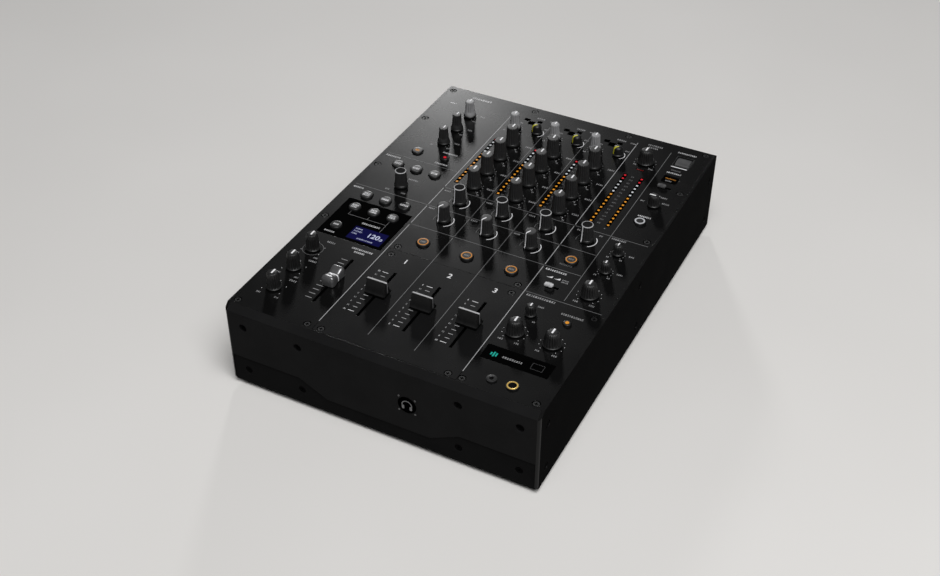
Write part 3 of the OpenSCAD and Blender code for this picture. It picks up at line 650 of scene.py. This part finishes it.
def effects_buttons():
    """Flat grey buttons with one or two rows of marks, and a darker tap button at the end."""
    one, long, two = [(0, 6.8, 2.3)], [(0, 7.8, 2.3)], [(1.35, 6.2, 1.9), (-1.35, 6.8, 1.9)]
    legends = [one, one, one, two, long, long, two, two, two, [(0, 5.0, 1.7)]]
    height = 1.45
    shape = Shape()
    faces = [SILVER] * 9 + [SMOKE]
    for box, rows, face in zip(solids("fx_buttons"), legends, faces):
        x, y = middle(box)
        dome(shape, x, y, (box[1].x - box[0].x) / 2, height, face, 0.06)
        for dy, width, cap in rows:
            words(shape, x, y + dy, width, cap, POINTER, height + 0.05, dense=True)
    shape.piece("fx_buttons_caps", "fx_buttons", "silver_plastic", replaces=("fx_buttons",))


def cue_buttons():
    height = 1.3
    shape = Shape()
    for box in solids("cue_buttons"):
        x, y = middle(box)
        r = (box[1].x - box[0].x) / 2
        dome(shape, x, y, r, height, KNOB_SKIRT, 0.05)
        flat_ring(shape, x, y, r * 0.66, r * 0.80, height, RING_AMBER)
        words(shape, x, y, r * 0.76, 1.4, INK_PALE, height + 0.1)
    shape.piece("cue_buttons_caps", "cue_buttons", "lit_button", replaces=("cue_buttons",))


def utility_buttons():
    """Four lit buttons of different sizes: one with words, one ringed and two with a lens."""
    worded_r, ringed_r, red_r, height = 5.4, 5.0, 3.8, 1.3
    shape = Shape()
    for box in solids("utility_buttons"):
        x, y = middle(box)
        r = (box[1].x - box[0].x) / 2
        if r > worded_r:
            dome(shape, x, y, r, height, SMOKE, 0.06)
            for dy, width in ((0.8, 3.6), (-0.8, 4.4)):
                words(shape, x, y + dy, width, 1.2, LAMP_AMBER, height + 0.06, dense=True)
        elif r > ringed_r:
            dome(shape, x, y, r, height, SMOKE, 0.05)
            flat_ring(shape, x, y, r * 0.64, r * 0.88, height, RING_WHITE)
        else:
            dome(shape, x, y, r, height, KNOB_SKIRT, 0.1)
            share, mat = (0.42, LAMP_RED) if r > red_r else (0.5, LAMP_AMBER)
            lens = r * share
            shape.lathe([(0, height - 0.1), (lens, height - 0.1), (lens - 0.2, height + 0.25),
                         (0, height + 0.35)], mat, 24, (x, y, Z_TOP))
    shape.piece("utility_buttons_caps", "utility_buttons", "lit_button", replaces=("utility_buttons",))


def power_button():
    low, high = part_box("power_button")
    x, z = (low.x + high.x) / 2 / MM, (low.z + high.z) / 2 / MM
    face = high.y / MM
    shape = Shape()
    shape.lathe([(0, -16), (6.5, -16), (6.5, -0.8), (6.2, -0.25), (5.6, 0), (4.6, -0.1), (0, -0.35)],
                KNOB_SKIRT, 48, (x, face, z), turn=TO_REAR)
    shape.lathe([(3, -22), (3, -15)], PLASTIC, 24, (x, face, z), turn=TO_REAR)
    shape.piece("power_button_cap", "power_button", "button_plastic", replaces=("power_button",))


# ---- Printing on the top: lines, arcs, dots and letter-like marks that spell nothing ----

COLUMN = [centre(f"filter_knob_{c}")[0] for c in CHANNELS]
MASTER_X = centre("master_filter_knob")[0]
LEFT_LINE, RIGHT_LINE = COLUMN[0] - 23.9, COLUMN[2] + 21.5
DIM_LINES = (COLUMN[1] - 22.8, COLUMN[2] - 23.1)
BOOTH_LINE = MASTER_X + 16.7
PRINT = 0.05
MARKS = random.Random(7)


def row(node):
    return centre(node)[1]


def slab(shape, x0, y0, x1, y1, mat, z=0.0, rise=PRINT):
    """A thin layer of ink on a level face."""
    low, high = Z_TOP + z - 0.02, Z_TOP + z + rise
    corners = [(x0, y0), (x1, y0), (x1, y1), (x0, y1)]
    verts = [(x, y, low) for x, y in corners] + [(x, y, high) for x, y in corners]
    sides = [(i, (i + 1) % 4, (i + 1) % 4 + 4, i + 4) for i in range(4)]
    shape.add(verts, [(3, 2, 1, 0), (4, 5, 6, 7)] + sides, mat)


def stroke(shape, points, width, mat):
    """A printed line along points on a level face."""
    spine = [Vector((x, y, 0)) for x, y in points]
    low, high = Z_TOP - 0.02, Z_TOP + PRINT
    verts, faces = [], []
    for i, point in enumerate(spine):
        along = spine[min(i + 1, len(spine) - 1)] - spine[max(i - 1, 0)]
        side = Vector((-along.y, along.x, 0)).normalized() * width / 2
        for edge, level in ((side, low), (side, high), (-side, high), (-side, low)):
            verts.append((point.x + edge.x, point.y + edge.y, level))
    for i in range(len(spine) - 1):
        a = 4 * i
        faces += [(a + k, a + (k + 1) % 4, a + 4 + (k + 1) % 4, a + 4 + k) for k in range(4)]
    last = 4 * (len(spine) - 1)
    faces += [(3, 2, 1, 0), (last, last + 1, last + 2, last + 3)]
    shape.add(verts, faces, mat)


def dot(shape, x, y, r, mat):
    shape.lathe([(0, -0.02), (r, -0.02), (r, PRINT), (0, PRINT)], mat, 12, (x, y, Z_TOP))


def words(shape, x, y, width, cap, mat, z=0.0, dense=False):
    """A row of letter-like marks that spell nothing: each is two or three short bars."""
    bars = (((0.0, 0.26), (0.74, 1.0)), ((0.0, 0.2), (0.4, 0.6), (0.8, 1.0)), ((0.0, 0.34), (0.66, 0.9)),
            ((0.0, 0.5), (0.76, 1.0)))
    gap = cap * (0.14 if dense else 0.32)
    start, end = x - width / 2, x + width / 2
    while start < end - 0.3 * cap:
        wide = min(cap * MARKS.choice((0.5, 0.62, 0.74)), end - start)
        for low, high in MARKS.choice(bars):
            slab(shape, start, y + cap * (low - 0.5), start + wide, y + cap * (high - 0.5), mat, z)
        start += wide + gap


def figures(shape, text, x, y, size, mat, z=0.0):
    """Plain figures, laid flat and centred on a point."""
    curve = bpy.data.curves.new("figures", "FONT")
    curve.body = text
    curve.size = size
    curve.extrude = PRINT / 2
    curve.offset = size * 0.018
    curve.align_x, curve.align_y = "CENTER", "CENTER"
    holder = bpy.data.objects.new("figures", curve)
    mesh = bpy.data.meshes.new_from_object(holder)
    at = Vector((x, y, Z_TOP + z + PRINT / 2))
    shape.add([v.co + at for v in mesh.vertices], [p.vertices[:] for p in mesh.polygons], mat)
    bpy.data.objects.remove(holder)
    bpy.data.meshes.remove(mesh)
    bpy.data.curves.remove(curve)


def dot_scale(shape, node, radius, mat=INK_PALE, count=11, span=140, r=0.3):
    for x, y in arc_points(radius, -span, span, count - 1, centre(node)):
        dot(shape, x, y, r, mat)


def marks_at(shape, at, marks, mat):
    """marks are (dx, dy, width, cap height) from a point."""
    for dx, dy, width, cap in marks:
        words(shape, at[0] + dx, at[1] + dy, width, cap, mat)


def labels(shape, node, marks):
    marks_at(shape, centre(node), marks, INK_PALE)


def end_ticks(shape, node, dx, dy, drop):
    """The two ends of a knob's scale: an upright tick and a small figure beside its foot."""
    x, y = centre(node)
    for side in (-1, 1):
        slab(shape, x + side * dx - 0.25, y - dy, x + side * dx + 0.25, y - dy + 2.4, INK_PALE)
        words(shape, x + side * dx + 2.0, y - drop, 2.0, 1.4, INK_PALE)


def dividing_lines():
    shape = Shape()
    rear, front = row("mic_knob_1") + 32, row("channel_fader_1") - 54
    tone_y = (row("eq_knob_1_4") + row("filter_knob_1")) / 2 + 1.4
    filter_y = (row("filter_knob_1") + row("send_knob_1")) / 2 - 0.9
    send_y = row("send_knob_1") - 17.9
    mic_y = row("eq_knob_1_4") + 14.7
    phones_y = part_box("fader_panel")[1].y / MM + 0.3
    columns = [(x, front, 0.6, INK_PALE) for x in (LEFT_LINE, RIGHT_LINE)]
    columns += [(x, front + 3.5, 0.5, INK_GREY) for x in DIM_LINES]
    for x, end, width, mat in columns:
        stops = [rear, tone_y, filter_y, send_y, end]
        for high, low in zip(stops, stops[1:]):
            stroke(shape, [(x, high - 1.5), (x, low + 1.5)], width, mat)
    stroke(shape, [(BOOTH_LINE, rear - 3), (BOOTH_LINE, phones_y + 2.5)], 0.5, INK_GREY)
    left, right, inner, booth = -137, 137, LEFT_LINE + 1.3, BOOTH_LINE - 0.9
    for x0, x1, y in ((left, LEFT_LINE - 1.2, mic_y), (inner, right, tone_y), (left, booth, filter_y),
                      (inner, booth, send_y), (RIGHT_LINE + 0.6, right, phones_y)):
        stroke(shape, [(x0, y), (x1, y)], 0.5, INK_GREY)
    shape.piece("printed_lines", "chassis", None)


def setting_arcs(shape, node):
    """The bright arc of a filter or send knob's setting and the dim one across from it."""
    stroke(shape, arc_points(9.3, 46, 154, 24, centre(node)), 0.7, INK_WHITE)
    stroke(shape, arc_points(9.3, 250, 320, 14, centre(node)), 0.4, INK_GREY)


def channel_print(shape, c):
    for node in (f"filter_knob_{c}", f"send_knob_{c}"):
        setting_arcs(shape, node)
        labels(shape, node, [(-18, 11.5, 6, 1.7)])
    selector = f"input_selector_{c}"
    x, y = centre(selector)
    stroke(shape, arc_points(6.9, 40, 150, 16, (x, y)), 0.6, INK_WHITE)
    labels(shape, selector, [(6.5, 9.5, 4.5, 1.6), (-5.5, 11.5, 3.5, 1.6), (-6, 25.5, 9, 2.0),
                             (7, 25.0, 7, 1.6)])
    for dx, dy, w, h in ((-18.4, 18.4, 5.5, 4.4), (-12.0, 14.6, 6.5, 6.5), (-5.4, 19.4, 5.0, 4.0)):
        slab(shape, x + dx - w / 2, y + dy - h / 2, x + dx + w / 2, y + dy + h / 2, INK_BLACK)
    labels(shape, f"trim_knob_{c}", [(-8, -7, 2.6, 1.4), (8, -7, 2.6, 1.4), (0.5, 12.4, 6, 1.7)])
    dot_scale(shape, f"trim_knob_{c}", 7.6)
    for b in BANDS:
        node = f"eq_knob_{c}_{b}"
        dot_scale(shape, node, 8.7)
        labels(shape, node, [(16.5 if b < 4 else 15.5, 2.1, 6.5, 2.0)])
        end_ticks(shape, node, 7.0, 8.4, 10.2)


def left_print(shape):
    for node in per_channel("mic_knob"):
        dot_scale(shape, node, 7.6)
        labels(shape, node, [(-8.8, -7.4, 3.2, 1.6), (8.6, -7.4, 3.6, 1.6), (12.5, 3.5, 5.0, 1.8)])
    labels(shape, "resonance_knob", [(5.4, 13.3, 9.5, 1.8), (-9.2, -9.6, 4, 1.6), (7.6, -9.6, 4.5, 1.6)])
    stroke(shape, arc_points(9.1, 0, 359.9, 48, centre("fx_knob_1")), 0.35, INK_GREY)
    for node in per_channel("fx_knob"):
        dot_scale(shape, node, 10.2, INK_WHITE, 5, 120, 0.35)
        labels(shape, node, [(9.5, 14.4, 7.5, 1.9), (-8.5, -10.5, 3.6, 1.6), (9, -10.5, 3.6, 1.6)])


def right_print(shape):
    labels(shape, "master_level_knob", [(-1, 30.6, 15, 2.0), (-1.5, 26.4, 10, 2.0), (-7.7, -6.8, 3.4, 1.6),
                                        (9, -9.2, 4.8, 1.6)])
    dot_scale(shape, "master_level_knob", 10.2)
    labels(shape, "route_selector", [(-11.5, 2.5, 3.5, 1.6), (4.5, 14.8, 6.0, 1.8), (9.5, 6.2, 7, 1.6)])
    x, y = centre("route_selector")
    slab(shape, x - 4.5, y + 15.2, x + 0.4, y + 16.2, INK_WHITE)
    for node in ("booth_high_knob", "booth_low_knob"):
        labels(shape, node, [(-6, -7.3, 3.2, 1.5), (6, -7.3, 3.2, 1.5), (12.5, 1.2, 5.0, 1.7)])
        dot_scale(shape, node, 6.6)
    labels(shape, "booth_high_knob", [(-6.5, 19, 13, 1.9)])
    for node in ("booth_level_knob", "phones_mix_knob", "phones_level_knob"):
        dot_scale(shape, node, 10.4, INK_WHITE)
        labels(shape, node, [(-7.2, -11.8, 4.5, 1.6), (7.2, -11.8, 4.5, 1.6)])
    labels(shape, "phones_cue_knob", [(-1, 22.6, 26, 2.2), (4, 12.4, 6, 1.7), (-6.5, -7.5, 3, 1.5),
                                      (6.5, -7.5, 3, 1.5)])
    labels(shape, "phones_level_knob", [(1, 38.3, 20, 1.9)])


def button_print(shape):
    lit, effects = solids("utility_buttons"), solids("fx_buttons")
    marks_at(shape, middle(lit[0]), [(1.5, 9, 16, 1.8), (1.3, -10, 13, 1.8)], INK_WHITE)
    marks_at(shape, middle(lit[2]), [(0.8, 9.0, 12, 1.9)], INK_WHITE)
    for i, mark in ((0, (-11, 10.2, 15, 1.9)), (3, (-13, 8.2, 11, 1.9)), (9, (-1, -10, 10, 1.7))):
        marks_at(shape, middle(effects[i]), [mark], INK_WHITE)
    x, y = middle(solids("cue_buttons")[0])
    words(shape, x - 1.2, y - 7.9, 12, 1.7, INK_GREY)
    words(shape, x - 5.2, y - 19.5, 19, 2.1, INK_WHITE)
    for left in (x - 9.5, x - 2.5):
        wedge(shape, left, y - 29.5, 5.0, 2.6, INK_WHITE)
    marks_at(shape, (x, y), [(7.5, -28.0, 6.0, 1.3), (7.5, -30.6, 6.0, 1.3)], INK_PALE)
    for c, x in zip(CHANNELS, COLUMN):
        figures(shape, str(c), x, row(f"channel_fader_{c}") + 47, 8.0, INK_WHITE)


def wedge(shape, x, y, width, tall, mat):
    """A filled sliver that grows to the right, with a hollow upper edge."""
    for i in range(8):
        a, b = i / 8, (i + 1) / 8
        slab(shape, x + width * a, y, x + width * b, y + 0.3 + (tall - 0.3) * b ** 2.2, mat)


def fader_print(shape):
    for c, x in zip(CHANNELS, COLUMN):
        y = row(f"channel_fader_{c}") - 1.5
        for i in range(11):
            level = y + 28 - 5.6 * i
            reach, mat = (10.8, INK_WHITE) if i in (0, 10) else (9.4, INK_PALE)
            stroke(shape, [(x - reach, level), (x - 5.2, level)], 0.55, mat)
            words(shape, x - 14, level, 1.8, 1.5, mat)
    x, y = centre("fx_fader")
    for i in range(11):
        level = y + 28.2 - 5.65 * i
        stroke(shape, [(x - 9.6, level), (x - 3.6, level)], 0.5, INK_PALE)
    marks_at(shape, (x, y), [(0.4, 46, 20, 1.9), (-0.2, 41.8, 10, 1.9)], INK_WHITE)


def printed_legends():
    shape = Shape()
    for c in CHANNELS:
        channel_print(shape, c)
    setting_arcs(shape, "master_filter_knob")
    labels(shape, "master_filter_knob", [(-11.5, 11.2, 4, 1.7), (9.5, 11.2, 4, 1.7)])
    left_print(shape)
    right_print(shape)
    button_print(shape)
    fader_print(shape)
    marks_at(shape, centre("mic_knob_1"), [(-3, 33, 21, 2.6), (-25.5, 15, 7.5, 1.9)], INK_WHITE)
    shape.piece("printed_legends", "chassis", None)


# ---- Lit meters, windows and the display ----

LAMPS = 15
LAMP_STEP = 5.77
LAMP_FIRST = row("eq_knob_1_4") + 0.9


def meters():
    shape = Shape()
    last = LAMP_FIRST + LAMP_STEP * (LAMPS - 1)
    columns = [(x - 18, 10, 14) for x in COLUMN] + [(MASTER_X - 8.1, 9, 13), (MASTER_X + 8.3, 9, 13)]
    for x, white, red in columns:
        slab(shape, x - 1.9, LAMP_FIRST - 2.6, x + 1.9, last + 2.6, INK_BLACK, rise=0.04)
        for i in range(LAMPS):
            y = LAMP_FIRST + LAMP_STEP * i
            mat = LAMP_RED if i >= red else LAMP_WHITE if i >= white else LAMP_AMBER
            shape.block((x - 1.2, y - 1.2, Z_TOP - 0.8), (x + 1.2, y + 1.2, Z_TOP + 0.2), mat, 0.25, 2)
            if x < RIGHT_LINE:
                words(shape, x + 4.2, y, 2.2, 1.4, INK_GREY)
    for i in range(LAMPS):
        words(shape, MASTER_X - 0.4, LAMP_FIRST + LAMP_STEP * i, 3.4, 1.6, INK_GREY)
    y = LAMP_FIRST + LAMP_STEP * 16.5
    slab(shape, MASTER_X - 3.2, y - 0.9, MASTER_X + 5, y + 0.9, INK_BLACK)
    words(shape, MASTER_X + 1.0, y, 6.5, 1.1, RED_RING, PRINT)
    dot(shape, MASTER_X + 7.3, LAMP_FIRST - 5.9, 0.7, INK_GREY)
    shape.piece("meter_lamps", "chassis", "gloss_acrylic")


def display():
    """The lit screen in the left window with its figures, and the bracket under the buttons."""
    low, high = min(solids("gloss_windows"), key=lambda b: b[0].x)
    shape = Shape()
    x0, x1, y0, y1 = low.x + 27.7, high.x - 3.7, low.y + 3.8, low.y + 22.3
    x, y, top = (x0 + x1) / 2, (y0 + y1) / 2, 0.03
    shape.block((x0, y0, Z_TOP - 0.3), (x1, y1, Z_TOP + top), LCD_BLUE, 0)
    for k, wide in enumerate((7, 9, 5)):
        words(shape, x0 + 1.5 + wide / 2, y1 - 3.2 - 3.6 * k, wide, 1.5, LCD_TEXT, top)
    figures(shape, "120", x1 - 11.5, y + 1.2, 8.2, LCD_TEXT, top)
    figures(shape, ".0", x1 - 3.6, y - 0.2, 4.6, LCD_TEXT, top)
    words(shape, x + 1, y0 + 2.6, 16, 1.4, LCD_TEXT, top)
    words(shape, x - 5, y1 + 5.6, 18, 1.9, INK_WHITE)
    left, mid, right = [middle(b)[0] for b in solids("fx_buttons")[6:9]]
    bar = high.y - 22.5
    for points in ([(left, bar + 5.5), (left, bar), (right, bar)], [(mid, bar), (mid, bar + 4)],
                   [(right, bar + 7), (right, bar - 12)]):
        for a, b in zip(points, points[1:]):
            stroke(shape, [a, b], 0.35, INK_GREY)
    shape.piece("display_screen", "chassis", "gloss_acrylic")


def window_marks():
    """The lit row and the legend of the mode window, and the glyph and frame of the link window."""
    shape = Shape()
    x, y = middle(max(solids("gloss_windows"), key=lambda b: b[0].y))
    words(shape, x, y + 1.4, 10.0, 1.4, RING_AMBER)
    words(shape, x - 1, y - 2.6, 6, 1.4, INK_PALE)
    link = min(solids("gloss_windows"), key=lambda b: b[0].y)
    x, y = link[0].x + 9, middle(link)[1] - 1
    link_glyph(shape, x, y)
    words(shape, x + 16, y, 17, 2.0, INK_PALE)
    corner_marks(shape, link[1].x - 17, link[1].x - 7, y - 2.2, y + 4.6)
    shape.piece("window_marks", "chassis", "gloss_acrylic")


def link_glyph(shape, x, y):
    """Three upright bars of different lengths."""
    for dx, half in ((-2.2, 1.5), (0, 2.8), (2.2, 2.0)):
        stroke(shape, [(x + dx, y - half), (x + dx, y + half)], 1.3, TEAL)


def corner_marks(shape, x0, x1, y0, y1):
    """A dashed frame."""
    dashes = 7
    for i in range(dashes):
        a, b = (i + 0.2) / dashes, (i + 0.8) / dashes
        for y in (y0, y1):
            stroke(shape, [(x0 + (x1 - x0) * a, y), (x0 + (x1 - x0) * b, y)], 0.4, INK_DIM)
        for x in (x0, x1):
            stroke(shape, [(x, y0 + (y1 - y0) * a), (x, y0 + (y1 - y0) * b)], 0.4, INK_DIM)


# ---- Front plate, sockets and rear fittings ----


def front_plate():
    """Square plate beside the middle of the front, with a headphones glyph and four screws."""
    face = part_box("front_panel")[0].y / MM
    size, x, z = 18, 28, 47
    shape = Shape()
    half = size / 2
    shape.block((x - half, face - 0.2, z - half), (x + half, face + 2, z + half), PAINT_CASE, 0.8, 3)
    shape.lathe([(0, 0), (8.3, 0), (8.2, 0.1), (0, 0.12)], INK_BLACK, 48, (x, face - 0.18, z), turn=TO_FRONT)
    # The four corner screws are a lighter grey than the plate: partly their own colour, partly a painted
    # glint.
    for dx in (-1, 1):
        for dz in (-1, 1):
            shape.lathe([(0, -0.2), (1.0, -0.2), (0.85, 0.2), (0, 0.24)], INK_DIM, 20,
                        (x + dx * 7.3, face - 0.2, z + dz * 7.3), turn=TO_FRONT)
    band = arc_points(4.0, -115, 115, 20)
    shape.ribbon([(x + px, face - 0.32, z - 0.2 + pz) for px, pz in band], (0, -1, 0), INK_GREY, 0.3, 0.7)
    for ear in (x - 3.5, x + 3.5):
        shape.block((ear - 1.1, face - 0.5, z - 4.6), (ear + 1.1, face, z - 0.8), INK_GREY, 0.4, 2)
    shape.piece("front_plate", "chassis", "socket_plastic")


def phones_rims():
    sockets_top = [b for b in solids("sockets") if b[1].y < 0]
    small, large = sorted(sockets_top, key=lambda b: b[0].x)
    shape = Shape()
    x, y = middle(large)
    shape.lathe([(3.3, -9), (3.3, 0.5), (3.5, 0.9), (4.0, 1.0), (4.5, 0.8), (4.75, 0.4), (4.75, 0.02),
                 (4.6, 0.02), (4.6, -0.5)], RIM_GOLD, 48, (x, y, Z_TOP))
    x, y = middle(small)
    shape.lathe([(1.85, -5), (1.85, 0.5), (2.2, 0.8), (3.6, 0.8), (4.1, 0.6), (4.3, 0.3), (4.3, 0.02),
                 (4.0, 0.02), (4.0, -0.5)], SCREW, 48, (x, y, Z_TOP))
    shape.piece("phones_rims", "chassis", "socket_plastic")


def top_port():
    """The arched shutter in the sunk port, and the marks round it."""
    pocket = max((b for b in solids("sockets") if b[1].z > Z_TOP - 1), key=lambda b: b[0].y)
    low, high = pocket
    x, y = middle(pocket)
    shape = Shape()
    half, top = (high.y - low.y) / 2 - 2.6, Z_TOP - 0.2
    y += 1.6
    arch = [(y + half * math.cos(math.pi * k / 12), top - 2.2 * (1 - math.sin(math.pi * k / 12)))
            for k in range(13)]
    shape.prism([(y - half, Z_TOP - 9), (y + half, Z_TOP - 9)] + arch, x - 6.8, x + 6.8, SHUTTER, 0.6, 3)
    shape.piece("port_shutter", "chassis", "socket_plastic")
    shape = Shape()
    slab(shape, low.x + 0.6, low.y - 2.9, high.x - 0.9, low.y - 1.7, INK_WHITE)
    words(shape, x - 0.5, high.y + 4.8, 19, 1.9, INK_WHITE)
    words(shape, x - 1, low.y - 8.2, 9, 1.6, INK_GREY)
    words(shape, x - 0.5, low.y - 13.3, 15, 1.9, INK_WHITE)
    shape.piece("port_legends", "chassis", None)


REAR_SOCKETS_FROM = 185
RED_ROWS = (53, 21)


def phono_rings(shape, x, face, z):
    """A gold barrel in a red ring on the right channel's rows, and in a white one on the others."""
    ring = RED_RING if round(z) in RED_ROWS else WHITE_RING
    shape.lathe([(4.2, -6.9), (5.9, -6.9), (5.9, -6.3), (5.5, -6.0), (4.2, -6.0)], ring, 40, (x, face, z),
                turn=TO_REAR)
    shape.lathe([(1.7, -3), (1.7, 0.05), (3.0, 0.05), (4.1, -0.25), (4.25, -0.7), (4.25, -6.1)], GOLD, 40,
                (x, face, z), turn=TO_REAR)


def jack_nut(shape, x, face, z):
    shape.lathe([(6.6, -2.05), (6.6, -0.4), (6.2, 0.05), (3.6, 0.05), (3.3, -0.2), (3.3, -1.5)], STEEL, 6,
                (x, face, z), turn=TO_REAR)


def flange_screws(shape, x, _, z):
    for dx, dz in ((-9.6, 11.9), (9.6, -11.9)):
        shape.lathe([(0, 0), (2.3, 0), (2.1, 0.5), (1.4, 0.8), (0, 0.85)], SCREW, 24,
                    (x + dx, rear_face() + 1.6, z + dz), turn=TO_REAR)


def ground_nut(shape, x, face, z):
    shape.lathe([(3.8, -5.9), (3.9, -0.5), (3.4, 0.05), (0, 0.12)], STEEL, 60, (x, face, z), flutes=20,
                turn=TO_REAR)


def rear_fittings():
    """Rings, nuts and flange screws on the rear sockets, which are told apart by their widths."""
    kinds = ((11.5, phono_rings), (15, jack_nut), (26, flange_screws), (9, ground_nut))
    shape = Shape()
    for low, high in solids("sockets"):
        for width, fitting in kinds:
            if high.y > REAR_SOCKETS_FROM and abs(high.x - low.x - width) < 0.2:
                fitting(shape, (low.x + high.x) / 2, high.y, (low.z + high.z) / 2)
    shape.piece("rear_fittings", "chassis", "socket_plastic")


def rear_face():
    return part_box("rear_panel")[1].y / MM


# ---- Finish of the CAD parts that stay ----


def carried_over():
    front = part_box("front_panel")[0].y / MM
    finishes = {
        "top_panel": PAINT_TOP, "fader_panel": PAINT_FADER, "bottom_tray": TRAY_PAINT_AND_SHADE,
        "front_panel": PAINT_CASE, "side_plates": PAINT_SIDE, "rear_panel": PAINT_REAR,
        "rubber_feet": RUBBER, "case_screws": SCREW, "gloss_windows": ACRYLIC,
        "circuit_boards": BOARD, "sockets": PLASTIC,
    }
    for node, mat in finishes.items():
        data = NODES[node].data
        data.materials.clear()
        data.materials.append(mat)
        data.polygons.foreach_set("material_index", [0] * len(data.polygons))
    sunk, hidden, lip_end, board_z = Z_TOP - 0.4, -0.5, front + 12, Z_TOP - 15
    # Hole and recess walls and downward faces of the top panel get the near-black: painted shade.
    second_finish("top_panel", PAINT_SHADE,
                  lambda at, n: at.z < sunk and at.y > front + 4 or n.z < hidden)
    second_finish("top_panel", PAINT_CASE, lambda at, n: n.y < -0.2 and n.z > 0.2 and at.y < lip_end)
    # Slot walls and downward faces of the fader panel, and the board tops seen through the holes, get the
    # same painted shade.
    second_finish("fader_panel", PAINT_SHADE, lambda at, n: at.z < sunk or n.z < hidden)
    second_finish("circuit_boards", PAINT_SHADE, lambda at, n: at.z > board_z)
    # Screw recesses and the sides of the heads get the painted shade too.
    low, high = [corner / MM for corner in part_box("case_screws")]
    second_finish("case_screws", PAINT_SHADE, lambda at, n: all(
        abs(n[i]) < 0.9 or low[i] + 0.2 < at[i] < high[i] - 0.2 for i in range(3)))
    # Screw heads that face the front and sides take the side plates' darker, unglossy paint, unlike the top
    # ones: painted shade.
    second_finish("case_screws", PAINT_SIDE, lambda at, n: abs(n.z) < 0.5 and at.y < high.y - 1)
    second_finish("side_plates", PAINT_TOP, lambda at, n: n.z > 0.7)
    # Rounded vertical corners of the side plates get the lighter finish: painted highlight.
    second_finish("side_plates", EDGE_HIGHLIGHT,
                  lambda at, n: abs(n.x) > 0.2 and abs(n.y) > 0.2 and abs(n.z) < 0.2)


def second_finish(node, mat, chosen):
    """Gives one more finish to the faces picked by their middle, in millimetres, and their direction."""
    data = NODES[node].data
    data.materials.append(mat)
    for face in data.polygons:
        if chosen(face.center / MM, face.normal):
            face.material_index = len(data.materials) - 1


# ---- Camera, floor and lights ----


def camera():
    data = bpy.data.cameras.new("camera")
    data.lens = 50.38
    data.sensor_width = 36
    data.clip_start, data.clip_end = 0.05, 50
    obj = bpy.data.objects.new("camera", data)
    bpy.context.scene.collection.objects.link(obj)
    obj.location = (0.41387, -0.84528, 0.76705)
    obj.rotation_euler = Vector((-0.35532, 0.69487, -0.62522)).to_track_quat("-Z", "Y").to_euler()
    obj.rotation_euler.rotate_axis("Z", math.radians(0.17))
    bpy.context.scene.camera = obj


def floor():
    mat, tree, bsdf = material("floor")
    wide = noise(tree, 3, 2)
    tree.links.new(ramp(tree, wide, [(0.3, (0.77, 0.755, 0.735)), (0.7, (0.80, 0.785, 0.765))]),
              bsdf.inputs["Base Color"])
    bsdf.inputs["Roughness"].default_value = 0.7
    bsdf.inputs["Specular IOR Level"].default_value = 0.2
    bm = bmesh.new()
    bmesh.ops.create_grid(bm, x_segments=8, y_segments=8, size=6)
    data = bpy.data.meshes.new("floor")
    bm.to_mesh(data)
    bm.free()
    data.materials.append(mat)
    obj = bpy.data.objects.new("floor", data)
    bpy.context.scene.collection.objects.link(obj)


def softbox(name, place, target, size, power):
    data = bpy.data.lights.new(name, "AREA")
    data.shape = "RECTANGLE"
    data.size, data.size_y = size
    data.energy = power
    obj = bpy.data.objects.new(name, data)
    bpy.context.scene.collection.objects.link(obj)
    obj.location = place
    obj.rotation_euler = (Vector(target) - Vector(place)).to_track_quat("-Z", "Y").to_euler()


def lights():
    world = bpy.data.worlds.new("world")
    bpy.context.scene.world = world
    world.use_nodes = True
    backdrop = world.node_tree.nodes["Background"]
    backdrop.inputs["Color"].default_value = (0.80, 0.80, 0.82, 1)
    backdrop.inputs["Strength"].default_value = 0.035
    softbox("key", (-1.49, 2.71, 1.066), (-0.1, 0.1, 0.08), (0.3, 0.3), 20)
    softbox("fill", (0.9, -1.0, 2.6), (0, 0, 0.05), (1.8, 1.8), 80)
    view = bpy.context.scene.view_settings
    view.view_transform = "Standard"
    view.look = "None"


# ---- Everything together ----

camera()
carried_over()
knobs()
faders()
levers()
effects_buttons()
cue_buttons()
utility_buttons()
power_button()
dividing_lines()
printed_legends()
meters()
display()
window_marks()
front_plate()
phones_rims()
top_port()
rear_fittings()
floor()
lights()
